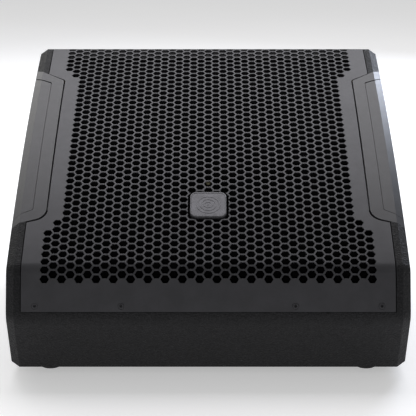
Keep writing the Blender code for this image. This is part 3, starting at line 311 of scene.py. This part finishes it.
LOOKS = {
    "textured_coating": finish("textured_coating", (0.003, 0.003, 0.0033), (0.021, 0.021, 0.0235),
                               ("rough", 620.0), (0.50, 0.70), ("cloud", 240.0),
                               [("cells", 520.0, 0.7, 0.0010), ("rough", 1100.0, 0.4, 0.0005)],
                               Specular_IOR_Level=0.24),
    "plywood": finish("plywood", (0.34, 0.22, 0.12), (0.56, 0.40, 0.24), ("rough", 26.0),
                      (0.55, 0.75), ("cloud", 90.0), [("rough", 180.0, 0.3, 0.0004, (1, 8, 8))]),
    "grille_paint": finish("grille_paint", (0.046, 0.0455, 0.050), (0.057, 0.0565, 0.062), ("cloud", 40.0),
                           (0.40, 0.47), ("cloud", 300.0), [("fine", 1500.0, 0.10, 0.0002)],
                           metallic=0.3),
    "trim_plastic": finish("trim_plastic", (0.026, 0.0255, 0.029), (0.035, 0.0345, 0.039), ("cloud", 60.0),
                           (0.36, 0.46), ("cloud", 400.0), [("cells", 1500.0, 0.10, 0.0002)]),
    "badge_finish": finish("badge_finish", (0.085, 0.084, 0.090), (0.118, 0.117, 0.126), ("cloud", 120.0),
                           (0.30, 0.40), ("fine", 900.0), [("fine", 2200.0, 0.12, 0.0001, (1, 12, 1))],
                           metallic=0.55),
    "black_foam": finish("black_foam", (0.0006, 0.0006, 0.0007), (0.0025, 0.0025, 0.0027), ("cells", 700.0),
                         (0.90, 0.99), ("cloud", 300.0), [("cells", 640.0, 0.9, 0.0012)],
                         Specular_IOR_Level=0.04),
    "wadding": finish("wadding", (0.30, 0.29, 0.27), (0.56, 0.55, 0.52), ("rough", 120.0),
                      (0.85, 0.98), ("cloud", 90.0), [("rough", 260.0, 0.9, 0.002)]),
    "rubber": finish("rubber", (0.010, 0.010, 0.010), (0.022, 0.022, 0.022), ("cloud", 220.0),
                     (0.62, 0.80), ("cloud", 500.0), [("fine", 1600.0, 0.25, 0.0003)]),
    "black_steel": finish("black_steel", (0.018, 0.018, 0.019), (0.034, 0.034, 0.036), ("cloud", 160.0),
                          (0.30, 0.46), ("fine", 600.0), [("fine", 1500.0, 0.15, 0.0002)], metallic=0.6),
    "bright_steel": finish("bright_steel", (0.50, 0.50, 0.50), (0.66, 0.66, 0.67), ("cloud", 90.0),
                           (0.22, 0.36), ("fine", 500.0), [("fine", 900.0, 0.12, 0.0002, (1, 10, 1))],
                           metallic=1.0),
    "ferrite": finish("ferrite", (0.030, 0.029, 0.029), (0.060, 0.058, 0.058), ("rough", 180.0),
                      (0.50, 0.68), ("cloud", 300.0), [("rough", 700.0, 0.3, 0.0003)]),
    "cone_paper": finish("cone_paper", (0.014, 0.013, 0.012), (0.034, 0.032, 0.030), ("rough", 320.0),
                         (0.78, 0.95), ("cloud", 200.0), [("rough", 520.0, 0.5, 0.0006)]),
    "panel_paint": finish("panel_paint", (0.014, 0.014, 0.015), (0.026, 0.026, 0.028), ("cloud", 300.0),
                          (0.42, 0.56), ("cloud", 600.0), [("cells", 1500.0, 0.22, 0.0002)], metallic=0.2),
    "black_plastic": finish("black_plastic", (0.014, 0.014, 0.014), (0.025, 0.025, 0.025), ("cloud", 140.0),
                            (0.36, 0.52), ("fine", 900.0), [("cells", 2000.0, 0.12, 0.0002)]),
    "green_board": finish("green_board", (0.010, 0.075, 0.028), (0.022, 0.15, 0.055), ("cells", 260.0),
                          (0.30, 0.50), ("cloud", 400.0), [("cells", 380.0, 0.3, 0.0004)]),
    "copper_coil": finish("copper_coil", (0.50, 0.22, 0.09), (0.78, 0.40, 0.18), ("fine", 900.0),
                          (0.28, 0.42), ("fine", 700.0), [("fine", 1800.0, 0.5, 0.0003, (1, 1, 6))],
                          metallic=0.9),
    "lens": finish("lens", (0.10, 0.09, 0.05), (0.34, 0.31, 0.18), ("cloud", 900.0),
                   (0.10, 0.22), ("fine", 900.0), [("fine", 1500.0, 0.05, 0.0001)]),
    "grey_control": finish("grey_control", (0.22, 0.22, 0.23), (0.32, 0.32, 0.33), ("cloud", 200.0),
                           (0.40, 0.55), ("fine", 900.0), [("cells", 1800.0, 0.15, 0.0002)]),
}


def wear(item, look):
    item.data.materials.clear()
    item.data.materials.append(LOOKS[look])
    return item


for cad_node in NODES.values():
    wear(cad_node, cad_node.data.materials[0].name.split(".")[0])


# ---------------------------------------------------------------- building pieces

def add_piece(name, work, look, body="cabinet", smooth=35):
    """Makes a piece from a bmesh, gives it its finish, and has it ride on a body."""
    bmesh.ops.recalc_face_normals(work, faces=work.faces)
    mesh = bpy.data.meshes.new(name)
    work.to_mesh(mesh)
    work.free()
    item = bpy.data.objects.new(name, mesh)
    bpy.context.scene.collection.objects.link(item)
    mesh.shade_smooth()
    mesh.set_sharp_from_angle(angle=math.radians(smooth))
    wear(item, look)
    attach(item, body)
    return item


def strip(work, rings, close_ring=True, close_ends=False):
    """Joins rings of vertices with quads, one ring to the next."""
    made = [[work.verts.new(p) for p in ring] for ring in rings]
    for a, b in zip(made, made[1:]):
        count = len(a)
        for i in range(count if close_ring else count - 1):
            j = (i + 1) % count
            work.faces.new((a[i], a[j], b[j], b[i]))
    if close_ends:
        work.faces.new(made[0])
        work.faces.new(made[-1])
    return made


def lathe(work, profile, steps=32, place=None):
    """Turns (radius, height) points about Z; a point on the axis closes the end."""
    place = place or Matrix.Identity(4)
    rings = []
    for radius, height in profile:
        if radius <= 1e-7:
            rings.append([work.verts.new(place @ Vector((0, 0, height)))])
        else:
            rings.append([work.verts.new(place @ Vector((radius * math.cos(math.tau * i / steps),
                                                         radius * math.sin(math.tau * i / steps), height)))
                          for i in range(steps)])
    for a, b in zip(rings, rings[1:]):
        for i in range(steps):
            j = (i + 1) % steps
            loop = [a[i % len(a)], a[j % len(a)], b[j % len(b)], b[i % len(b)]]
            unique = [v for k, v in enumerate(loop) if v not in loop[:k]]
            if len(unique) > 2:
                work.faces.new(unique)
    return rings


def circle_at(centre, radius, steps=24):
    return [polar(centre, radius, math.tau * i / steps) for i in range(steps)]


def rounded_box(centre_y, half, corner, steps):
    """A rounded rectangle about X 0."""
    return rounded([(half[0] * a, centre_y + half[1] * b, corner)
                    for a, b in ((1, 1), (-1, 1), (-1, -1), (1, -1))], steps)


def turned_left(outline):
    """The outline run counter-clockwise."""
    area = sum(a[0] * b[1] - b[0] * a[1] for a, b in zip(outline, outline[1:] + outline[:1]))
    return outline if area > 0 else outline[::-1]


def inset_ring(outline, inset):
    """The outline moved inwards by a small distance, point by point."""
    if inset == 0:
        return list(outline)
    count = len(outline)
    area = sum(outline[i][0] * outline[(i + 1) % count][1] - outline[(i + 1) % count][0] * outline[i][1]
               for i in range(count))
    turn = 1 if area > 0 else -1
    moved = []
    for i in range(count):
        before = Vector(outline[i]) - Vector(outline[i - 1])
        after = Vector(outline[(i + 1) % count]) - Vector(outline[i])
        n1 = Vector((-before.y, before.x)).normalized() * turn
        n2 = Vector((-after.y, after.x)).normalized() * turn
        both = (n1 + n2).normalized()
        reach = inset / max(0.4, both.dot(n1))
        moved.append((outline[i][0] + both.x * reach, outline[i][1] + both.y * reach))
    return moved


# ---------------------------------------------------------------- grille

def hole_rows():
    """Centres of the hexagonal holes, as (x, distance along the sheet)."""
    found = []
    for row in range(-9, 74):
        s = (FOLD_ROW - row) * ROW_STEP
        beside_trims = 3 <= row <= 59 if row % 2 else 5 <= row <= 57
        reach = (8.5 if row % 2 else 8.0) if beside_trims else (9.5 if row % 2 else 9.0)
        offset = -reach
        while offset <= reach:
            found.append((offset * HOLE_SPACING, s))
            offset += 1.0
    return found


def hexagon(centre, radius):
    return [(centre[0] + radius * math.cos(math.pi / 3 * i),
             centre[1] + radius * HOLE_SQUEEZE * math.sin(math.pi / 3 * i)) for i in range(6)]


def make_grille():
    """The perforated sheet: cut flat, then folded onto the face, the lip and the crest."""
    points, faces, rims = [], [], []

    def ring(outline, rim=None):
        start = len(points)
        points.extend(turned_left(outline))
        faces.append(list(range(start, start + len(outline))))
        rims.append(rim)

    half = GRILLE_HALF
    ring([(-half, S_FOOT), (half, S_FOOT), (half, S_TOP), (-half, S_TOP)])
    notch = trim_outline(*NOTCH_GAPS)
    ring(notch)
    ring([(-x, s) for x, s in notch])
    grown = [size / 2 + BADGE_GAP for size in BADGE_SIZE]
    ring(rounded_box(BADGE_UP, grown, BADGE_CORNER + BADGE_GAP, 6))
    for centre in hole_rows():
        ring(hexagon(centre, HOLE_RADIUS + RIM), ("hex", centre))
    screw_s = S_FOOT - 0.0005 + SCREW_UP
    for x in SCREW_X:
        ring(circle_at((x, screw_s), SINK_RADIUS), ("sink", (x, screw_s)))
    edges = []

    def line(s):
        edges.append((len(points), len(points) + 1))
        points.extend([(-half, s), (half, s)])

    for i in range(13):
        line(S_FOLD_START + (S_FOLD_END - S_FOLD_START) * i / 12)
    for i in range(6):
        line(S_SLOPE_END + (S_CREST_END - S_SLOPE_END) * i / 5)
    step = 2 * ROW_STEP
    s = S_FOLD_END + step
    while s < S_SLOPE_END - step * 0.4:
        line(s)
        s += step
    flat, _, triangles, _, _, origins = geometry.delaunay_2d_cdt(
        [Vector(p) for p in points], edges, faces, 0, 1e-7)
    metal = [t for t, o in zip(triangles, origins) if 0 in o and len(o) == 1]
    owner = {}
    for t, o in zip(triangles, origins):
        for face in o:
            if face > 0 and rims[face]:
                for v in t:
                    owner[v] = rims[face]
    used = sorted({v for t in metal for v in t})
    layers = [{}, {}, {}]
    work = bmesh.new()
    for v in used:
        x, s = flat[v]
        rows = [(x, s, 0.0), (x, s, RIM), (x, s, SHEET)]
        if v in owner:
            kind, centre = owner[v]
            if kind == "hex":
                pull = HOLE_RADIUS / (HOLE_RADIUS + RIM)
                near = (centre[0] + (x - centre[0]) * pull, centre[1] + (s - centre[1]) * pull)
                rows = [(x, s, 0.0), (*near, RIM), (*near, SHEET)]
            else:
                rows = [(x, s, 0.0)]
                for pull, depth in ((0.95, 0.0003), (0.68, SHEET)):
                    rows.append((centre[0] + (x - centre[0]) * pull,
                                 centre[1] + (s - centre[1]) * pull, depth))
        for layer, (px, ps, depth) in zip(layers, rows):
            layer[v] = work.verts.new((px, *sheet_point(ps, depth)))
    sides = {}
    for a, b, c in metal:
        for pair in ((a, b), (b, c), (c, a)):
            sides[tuple(sorted(pair))] = sides.get(tuple(sorted(pair)), []) + [pair]
        work.faces.new([layers[0][v] for v in (a, b, c)])
        work.faces.new([layers[2][v] for v in (c, b, a)])
    for pairs in sides.values():
        if len(pairs) == 1:
            a, b = pairs[0]
            for upper, lower in zip(layers, layers[1:]):
                work.faces.new((upper[b], upper[a], lower[a], lower[b]))
    sheet = add_piece("grille_perforated", work, "grille_paint", smooth=25)
    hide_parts("grille")


# ---------------------------------------------------------------- badge, light and foam

def emblem(work, place, height):
    """Three raised rings one inside another, with a dot in the middle."""
    low, high = height - 0.0004, height + 0.0003
    for inner, outer in ((0.0128, 0.0152), (0.0082, 0.0106), (0.0036, 0.0060)):
        lathe(work, [(inner, low), (inner + 0.0002, high), (outer - 0.0002, high), (outer, low),
                     (inner, low)], 40, place)
    lathe(work, [(0.0, high), (0.0012, high), (0.0015, low), (0.0, low)], 20, place)


def make_badge():
    """The raised badge, and the carrier plate behind it with the indicator light's bore."""
    place = slope_frame(BADGE_UP)
    outline = rounded_box(0.0, [size / 2 for size in BADGE_SIZE], BADGE_CORNER, 8)
    work = bmesh.new()
    rings = [(0.0, -0.0030), (0.0, BADGE_PROUD - 0.0010), (0.00025, BADGE_PROUD - 0.0004),
             (0.0008, BADGE_PROUD - 0.00005), (0.0016, BADGE_PROUD - 0.00005), (0.0019, BADGE_PROUD - 0.0006)]
    joined = strip(work, [[place @ Vector((x, y, h)) for x, y in inset_ring(outline, inset)]
                          for inset, h in rings])
    work.faces.new(joined[0][::-1])
    work.faces.new(joined[-1])
    emblem(work, place, BADGE_PROUD - 0.0006)
    badge = add_piece("badge_plate", work, "badge_finish")
    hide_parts("badge")
    work = bmesh.new()
    outline = rounded_box(CARRIER_MIDDLE, CARRIER_HALF, CARRIER_CORNER, 4)
    bore = circle_at((0.0, LIGHT_UP - BADGE_UP), LIGHT_BORE_R)
    for ring in (outline, bore):
        strip(work, [[place @ Vector((x, y, height)) for x, y in ring] for height in CARRIER_DEPTHS])
    for height in CARRIER_DEPTHS:
        fill_between(work, outline, bore, height, place)
    bmesh.ops.remove_doubles(work, verts=work.verts, dist=1e-6)
    add_piece("badge_carrier", work, "black_foam")


def fill_between(work, outline, hole, height, place):
    """A flat face at a height, from an outline to a hole in it."""
    points = [Vector(p) for p in outline + hole]
    rings = [list(range(len(outline))), list(range(len(outline), len(points)))]
    flat, _, triangles, _, _, origins = geometry.delaunay_2d_cdt(points, [], rings, 0, 1e-7)
    verts = [work.verts.new(place @ Vector((x, y, height))) for x, y in flat]
    for t, o in zip(triangles, origins):
        if 0 in o and 1 not in o:
            work.faces.new([verts[v] for v in t])


def make_foam():
    """Open-cell foam behind the grille, its faces pitted."""
    low = S_FOLD_START - FOLD_RISE + FRONT_LENGTH * 0.60
    notch = trim_outline(FOAM_GAP, FOAM_GAP, FOAM_GAP)
    points, faces = [], []
    for ring in ([(-FOAM_HALF, low), (FOAM_HALF, low), (FOAM_HALF, FOAM_END), (-FOAM_HALF, FOAM_END)], notch,
                 [(-x, s) for x, s in notch], circle_at((0.0, LIGHT_UP), LIGHT_BORE_R + 0.0002, 20)):
        faces.append(list(range(len(points), len(points) + len(ring))))
        points += turned_left(ring)
    pitch, stray = 0.0045, 0.001
    for j in range(1, int((FOAM_END - low) / pitch)):
        for i in range(-47, 48):
            points.append((i * pitch + RANDOM.uniform(-stray, stray),
                           low + j * pitch + RANDOM.uniform(-stray, stray)))
    flat, _, triangles, _, _, origins = geometry.delaunay_2d_cdt(
        [Vector(p) for p in points], [], faces, 0, 1e-7)
    solid = [t for t, o in zip(triangles, origins) if 0 in o and len(o) == 1]
    work = bmesh.new()
    rim = {}
    for a, b, c in solid:
        for pair in ((a, b), (b, c), (c, a)):
            rim.setdefault(tuple(sorted(pair)), []).append(pair)
    edge = {v for pairs in rim.values() if len(pairs) == 1 for v in pairs[0]}
    upper, lower = {}, {}
    for v in sorted({v for t in solid for v in t}):
        x, s = flat[v]
        pit = 0.0004 if v in edge else RANDOM.uniform(0.0, 0.0009)
        upper[v] = work.verts.new((x, *sheet_point(s, FOAM_TOP + pit)))
        lower[v] = work.verts.new((x, *sheet_point(s, FOAM_TOP + FOAM_THICK - pit)))
    for a, b, c in solid:
        work.faces.new((upper[a], upper[b], upper[c]))
        work.faces.new((lower[c], lower[b], lower[a]))
    for pairs in rim.values():
        if len(pairs) == 1:
            a, b = pairs[0]
            work.faces.new((upper[b], upper[a], lower[a], lower[b]))
    foam = add_piece("foam_backing", work, "black_foam", smooth=60)
    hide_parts("grille_foam")


# ---------------------------------------------------------------- softened CAD shapes

def cad_bmesh(name, stretch_x=1.0):
    """A CAD node's shape as a welded bmesh with its flat faces whole again."""
    work = bmesh.new()
    work.from_mesh(NODES[name].data)
    bmesh.ops.remove_doubles(work, verts=work.verts, dist=0.00001)
    if stretch_x != 1.0:
        bmesh.ops.scale(work, vec=(stretch_x, 1, 1), verts=work.verts)
    bmesh.ops.dissolve_limit(work, angle_limit=math.radians(0.6), verts=work.verts, edges=work.edges)
    return work


def round_edges(work, width, angle=32):
    """Rounds every convex edge sharper than an angle."""
    sharp = [e for e in work.edges if len(e.link_faces) == 2
             and e.calc_face_angle_signed(0.0) > math.radians(angle)]
    if sharp:
        bmesh.ops.bevel(work, geom=sharp, offset=width, segments=2, profile=0.5,
                        affect='EDGES', clamp_overlap=True)


def settle_normals(mesh):
    """Lets the broad faces look flat, with the whole turn taken by the small ones that round their edges."""
    around = {}
    for face in mesh.polygons:
        for v in face.vertices:
            around.setdefault(v, []).append(face)
    limit = math.cos(math.radians(50))
    normals = [None] * len(mesh.loops)
    for face in mesh.polygons:
        for corner in face.loop_indices:
            near = [f for f in around[mesh.loops[corner].vertex_index] if f.normal.dot(face.normal) > limit]
            turn = sum((f.normal * f.area ** 1.5 for f in near), Vector())
            normals[corner] = turn.normalized() if turn.length > 0 else face.normal
    mesh.normals_split_custom_set(normals)


def soften(name, width, look):
    """A CAD node's shape with rounded edges, in place of the plain one."""
    work = cad_bmesh(name)
    round_edges(work, width)
    item = add_piece(name + "_shape", work, look, body=NODES[name]["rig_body"], smooth=30)
    settle_normals(item.data)
    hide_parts(name)


def make_grip_gap_shade():
    """A dark strip down in the gap over each grip, painted shade that makes the gap look black, its face
    falling away under the gap.
    """
    for side, name in ((-1, "left"), (1, "right")):
        rings = []
        for x, up in GRIP_GAP_ROWS:
            drop = max(0.0, x - WIDTH / 2 + CHAMFER_ACROSS) * CHAMFER_SLOPE
            low, high = (plan_y(up) + rise for rise in GRIP_GAP_SPAN)
            rings.append([BAFFLE @ Vector((side * x, y, surface_height(y) - drop - depth))
                          for y, depth in ((high, 0.0005), (low, 0.0040), (low, 0.0100), (high, 0.0100))])
        work = bmesh.new()
        strip(work, rings, close_ends=True)
        # The strip's dark rubber finish is painted shade in the gap over the grip
        add_piece("grip_seal_" + name, work, "rubber")


def surface_height(along):
    """How far the sloping face stands over the baffle's face, at a distance along the baffle."""
    y, z = sheet_point(up_at_plan(along))
    return (BAFFLE.inverted() @ Vector((0, y, z))).z


def make_cabinet():
    """The sprayed cabinet: its panels run into one skin, with the coating's soft edges."""
    panels = ["side_panel_left", "side_panel_right", "front_panel", "bottom_panel", "top_rail", "back_panel"]
    # The panels between the sides are drawn out a little, so that they run into the sides
    overlap = (INNER_X + 0.0006) / (INNER_X - 0.0003)
    helpers = []
    for i, name in enumerate(panels):
        work = cad_bmesh(name, 1.0 if i < 2 else overlap)
        mesh = bpy.data.meshes.new("skin")
        work.to_mesh(mesh)
        work.free()
        helper = bpy.data.objects.new("skin_%d" % i, mesh)
        bpy.context.scene.collection.objects.link(helper)
        helpers.append(helper)
    base = helpers[0]
    for helper in helpers[1:]:
        join = base.modifiers.new("join", 'BOOLEAN')
        join.operation = 'UNION'
        join.solver = 'EXACT'
        join.object = helper
    bpy.context.view_layer.update()
    joined = bpy.data.meshes.new_from_object(base.evaluated_get(bpy.context.evaluated_depsgraph_get()))
    for helper in helpers:
        bpy.data.objects.remove(helper)
    work = bmesh.new()
    work.from_mesh(joined)
    bmesh.ops.remove_doubles(work, verts=work.verts, dist=0.00002)
    bmesh.ops.dissolve_limit(work, angle_limit=math.radians(0.6), verts=work.verts, edges=work.edges)
    round_edges(work, 0.0008, 22)
    shell = add_piece("cabinet_shell", work, "textured_coating", smooth=24)
    settle_normals(shell.data)
    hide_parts(*panels)


SOFTENED = [
    ("handle_trim_left", 0.0005, "trim_plastic"), ("handle_trim_right", 0.0005, "trim_plastic"),
    ("handle_grip_left", 0.0006, "trim_plastic"), ("handle_grip_right", 0.0006, "trim_plastic"),
    ("foot_front_left", 0.0006, "rubber"), ("foot_front_right", 0.0006, "rubber"),
    ("foot_rear_left", 0.0006, "rubber"), ("foot_rear_right", 0.0006, "rubber"),
    ("amp_panel", 0.0004, "panel_paint"), ("heat_sink", 0.0003, "panel_paint"),
    ("input_socket", 0.00025, "black_plastic"), ("link_socket", 0.00025, "black_plastic"),
    ("mains_inlet", 0.00025, "black_plastic"), ("power_switch", 0.00025, "black_plastic"),
    ("power_rocker", 0.0004, "grey_control"), ("lift_button", 0.0002, "grey_control"),
]


# ---------------------------------------------------------------- rear panel, feet and recess detail

def socket_screw(work, place, rows, socket, floor):
    """A screw turned from (radius, height) rows, its top face last, with a hexagon socket down to floor."""
    rings = lathe(work, rows, 24, place)
    walls = []
    for height in (rows[-1][1], floor):
        ring = []
        for i in range(24):
            turn = math.tau * i / 24
            reach = socket * math.cos(math.pi / 6) / math.cos((i % 4 - 2) * math.pi / 12)
            ring.append(place @ Vector((reach * math.cos(turn), reach * math.sin(turn), height)))
        walls.append(ring)
    inner = strip(work, walls)
    top = rings[-1]
    for i in range(24):
        j = (i + 1) % 24
        work.faces.new((top[i], top[j], inner[0][j], inner[0][i]))
    work.faces.new(inner[1])
    if len(rings[0]) > 1:
        work.faces.new(rings[0][::-1])


def pan_screw(work, place, radius, height):
    """A domed screw head with a hexagon socket, its underside at the frame's Z 0."""
    dome = [(radius, 0.0), (radius, height * 0.35), (radius * 0.86, height * 0.75), (radius * 0.62, height)]
    socket_screw(work, place, dome, radius * 0.44, height * 0.35)


def make_grille_screws():
    """The countersunk screws at the grille's foot."""
    rows = [(0.0, -0.0160), (0.0013, -0.0160), (0.0019, -0.0150), (0.0019, -0.0021), (0.0034, -0.0006),
            (0.0036, -0.0003), (0.0034, -0.0001), (0.0028, 0.0)]
    for i, x in enumerate(SCREW_X):
        work = bmesh.new()
        socket_screw(work, FRONT @ Matrix.Translation((x, SCREW_UP, 0.0)), rows, 0.0019, -0.0030)
        screw = add_piece("grille_screw_%d_shape" % (i + 1), work, "grille_paint")
        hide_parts("grille_screw_%d" % (i + 1))


def make_screws():
    """Screws in the rear panel, the sockets, the feet and the hand recesses."""
    work = bmesh.new()
    for x in PANEL_SCREW_X:
        for y in PANEL_SCREW_Y:
            if x or y != PANEL_SCREW_Y[1]:
                pan_screw(work, REAR @ Matrix.Translation((x, y, 0.0)), 0.0034, 0.0018)
    add_piece("panel_screws", work, "black_steel")
    work = bmesh.new()
    for (x, y), rise in ((INPUT_AT, 0.0148), (LINK_AT, 0.0122)):
        for side in (-1, 1):
            place = REAR @ Matrix.Translation((x + side * 0.0098, y - side * rise, 0.0022))
            pan_screw(work, place, 0.0016, 0.0009)
    add_piece("socket_screws", work, "bright_steel")
    work = bmesh.new()
    for x in (-FOOT_X, FOOT_X):
        for y in FOOT_Y:
            down = Matrix.Translation((x, y, 0.0050)) @ Matrix.Rotation(math.pi, 4, 'X')
            pan_screw(work, down, 0.0037, 0.0024)
    add_piece("foot_screws", work, "bright_steel")
    work = bmesh.new()
    for side in (-1, 1):
        for up in (0.128, 0.320):
            turn = Matrix.Rotation(side * math.pi / 2, 4, 'Y')
            place = BAFFLE @ Matrix.Translation((side * POCKET_X, plan_y(up), -0.018)) @ turn
            pan_screw(work, place, 0.0036, 0.0020)
    add_piece("recess_screws", work, "black_steel")


def bar(work, start, end, half, low, high, place):
    """A thin bar on a face from start to end."""
    along = (Vector(end) - Vector(start)).normalized()
    across = Vector((-along.y, along.x)) * half
    ring = [Vector(start) - across, Vector(end) - across, Vector(end) + across, Vector(start) + across]
    rings = [[place @ Vector((p.x, p.y, h)) for p in ring] for h in (low, high)]
    made = strip(work, rings)
    work.faces.new(made[0][::-1])
    work.faces.new(made[-1])


def make_markings():
    """The dial's scale and the lines that group the controls, printed a little proud."""
    work = bmesh.new()
    marks = []
    for i in range(11):
        angle = math.radians(240 - 30 * i)
        end = 0.0142 if i % 5 == 0 else 0.0132
        marks.append((polar(KNOB_AT, 0.0112, angle), polar(KNOB_AT, end, angle), 0.00028))
    left, right, low, high = -0.132, -0.014, 0.142, 0.198
    marks += [((left, y), (right, y), 0.0002) for y in (high, low)]
    marks += [((x, low + 0.004), (x, high - 0.004), 0.0002) for x in (-0.089, -0.049)]
    marks += [((SLIDER_AT[0] + x, 0.1765), (SLIDER_AT[0] + x, 0.1785), 0.00025) for x in (-0.0025, 0.0025)]
    for start, end, half in marks:
        bar(work, start, end, half, 0.0, 0.00012, REAR)
    add_piece("panel_markings", work, "grey_control")


def make_knob():
    """The gain knob, its skirt fluted for the fingers, with a pointer line on its face."""
    place = REAR @ Matrix.Translation((*KNOB_AT, 0.0))
    steps, flutes = 72, 18
    # Rows of radius, height, and how deep the flutes are there
    profile = [(0.0020, -0.0100, 0.0), (0.0020, 0.0016, 0.0), (0.0086, 0.0016, 0.0), (0.0088, 0.0020, 0.0),
               (0.0088, 0.0030, 0.0), (0.0084, 0.0034, 0.6), (0.0079, 0.0082, 1.0), (0.0074, 0.0090, 0.5),
               (0.0068, 0.0094, 0.0)]
    rings = []
    for radius, height, flute in profile:
        ring = []
        for i in range(steps):
            turn = math.tau * i / steps
            reach = radius * (1 - 0.045 * flute * (0.5 + 0.5 * math.cos(flutes * turn)))
            ring.append(place @ Vector((reach * math.cos(turn), reach * math.sin(turn), height)))
        rings.append(ring)
    work = bmesh.new()
    made = strip(work, rings)
    work.faces.new(made[0][::-1])
    work.faces.new(made[-1])
    knob = add_piece("gain_knob_fluted", work, "black_plastic", body="gain_knob_turning")
    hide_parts("gain_knob")
    work = bmesh.new()
    bar(work, (0.0, 0.0022), (0.0, 0.0064), 0.0005, 0.00935, 0.00955, place)
    add_piece("gain_pointer", work, "grey_control", body="gain_knob_turning")


def make_rear_lamp():
    """A small round indicator in its bezel."""
    place = REAR @ Matrix.Translation((*LAMP_AT, 0.0))
    work = bmesh.new()
    lathe(work, [(0.0018, 0.0003), (0.0021, 0.0009), (0.0030, 0.0009), (0.0033, 0.0), (0.0018, 0.0),
                 (0.0018, 0.0003)], 28, place)
    add_piece("rear_lamp_bezel", work, "black_plastic")
    work = bmesh.new()
    lathe(work, [(0.0, 0.0), (0.00175, 0.0), (0.00175, 0.0006), (0.0012, 0.0013), (0.0, 0.0016)], 24, place)
    add_piece("rear_lamp_lens", work, "lens")


def make_wadding():
    """The loose damping pad on the cabinet's floor, its upper face tufted."""
    low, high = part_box("damping_pad")
    columns, rows = 60, 40
    thick = high.z - low.z
    work = bmesh.new()
    grid = {}
    for level in (0, 1):
        for i in range(columns + 1):
            for j in range(rows + 1):
                x = low.x + (high.x - low.x) * i / columns
                y = low.y + (high.y - low.y) * j / rows
                rim = min(i, columns - i, j, rows - j)
                fall = 0.35 if rim == 0 else (0.12 if rim == 1 else 0.0)
                tuft = RANDOM.uniform(0.0, 0.25) * thick
                z = high.z - tuft - fall * thick if level else low.z + (0.1 * thick if rim == 0 else 0.0)
                grid[level, i, j] = work.verts.new((x, y, z))
    for i in range(columns):
        for j in range(rows):
            work.faces.new([grid[1, i + a, j + b] for a, b in ((0, 0), (1, 0), (1, 1), (0, 1))])
            work.faces.new([grid[0, i + a, j + b] for a, b in ((0, 1), (1, 1), (1, 0), (0, 0))])
    border = [(i, 0) for i in range(columns)] + [(columns, j) for j in range(rows)] + \
        [(i, rows) for i in range(columns, 0, -1)] + [(0, j) for j in range(rows, 0, -1)]
    for a, b in zip(border, border[1:] + border[:1]):
        work.faces.new((grid[0, *a], grid[0, *b], grid[1, *b], grid[1, *a]))
    pad = add_piece("wadding_pad", work, "wadding", smooth=60)
    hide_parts("damping_pad")


def make_gasket():
    """The foam ring round the driver, its edges soft."""
    work = bmesh.new()
    profile = [(0.1400, 0.0040), (0.1403, 0.0060), (0.1412, 0.0066), (0.1528, 0.0066), (0.1537, 0.0060),
               (0.1540, 0.0040), (0.1536, 0.0036), (0.1404, 0.0036), (0.1400, 0.0040)]
    lathe(work, profile, 96, BAFFLE)
    bmesh.ops.remove_doubles(work, verts=work.verts, dist=1e-6)
    ring = add_piece("gasket_ring", work, "black_foam", smooth=50)
    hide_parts("woofer_gasket")


make_grille()
make_badge()
make_foam()
make_cabinet()
for node_name, edge_width, look_name in SOFTENED:
    soften(node_name, edge_width, look_name)
make_grip_gap_shade()
make_grille_screws()
make_screws()
make_markings()
make_knob()
make_rear_lamp()
make_wadding()
make_gasket()

# ---------------------------------------------------------------- stage

STAGE_HALF, STAGE_DROP = 6.0, -0.0003
CAMERA_AT, CAMERA_TILT, CAMERA_LENS, CAMERA_SHIFT = (0, -1.7045, 0.6343), 74.324, 115.17, -0.0007


def make_stage():
    """A pale floor, a hair under the feet, that glows a little so that it stays pale."""
    look = finish("stage", (0.86, 0.86, 0.86), (0.88, 0.88, 0.88), ("cloud", 2.0), (0.7, 0.8), ("cloud", 4.0),
                  [], Emission_Color=(1, 1, 1, 1), Emission_Strength=0.42)
    work = bmesh.new()
    strip(work, [[(x, y, STAGE_DROP) for x in (-STAGE_HALF, STAGE_HALF)] for y in (-STAGE_HALF, STAGE_HALF)],
          close_ring=False)
    mesh = bpy.data.meshes.new("studio_floor")
    work.to_mesh(mesh)
    work.free()
    floor = bpy.data.objects.new("studio_floor", mesh)
    bpy.context.scene.collection.objects.link(floor)
    floor.data.materials.append(look)


def area_light(name, place, target, size, energy, colour):
    data = bpy.data.lights.new(name, 'AREA')
    data.shape = 'RECTANGLE'
    data.size, data.size_y = size
    data.energy = energy
    data.color = colour
    lamp = bpy.data.objects.new(name, data)
    bpy.context.scene.collection.objects.link(lamp)
    lamp.location = place
    lamp.rotation_euler = (Vector(target) - Vector(place)).to_track_quat('-Z', 'Y').to_euler()


def make_lights():
    """A white studio: one broad soft light over the back, and a smaller one at each rear corner."""
    world = bpy.data.worlds.new("studio")
    bpy.context.scene.world = world
    world.use_nodes = True
    background = world.node_tree.nodes["Background"]
    background.inputs["Color"].default_value = (1, 1, 1, 1)
    background.inputs["Strength"].default_value = 0.26
    area_light("overhead", (0, 1.05, 2.05), (0, 0.0, 0.2), (2.4, 1.6), 34, (0.975, 0.965, 1.0))
    area_light("left_bank", (-1.35, 1.45, 0.98), (-0.2, 0.0, 0.25), (1.3, 0.9), 6.8, (1.0, 0.99, 0.97))
    area_light("right_bank", (1.05, 1.70, 0.92), (0.2, 0.15, 0.3), (0.7, 0.7), 18.5, (0.80, 0.86, 1.0))
    bpy.context.scene.view_settings.view_transform = 'Standard'


def make_camera():
    data = bpy.data.cameras.new("camera")
    data.sensor_width = 36
    data.lens = CAMERA_LENS
    data.shift_x = CAMERA_SHIFT
    camera = bpy.data.objects.new("camera", data)
    bpy.context.scene.collection.objects.link(camera)
    camera.location = CAMERA_AT
    camera.rotation_euler = (math.radians(CAMERA_TILT), 0, 0)
    bpy.context.scene.camera = camera


make_stage()
make_lights()
make_camera()
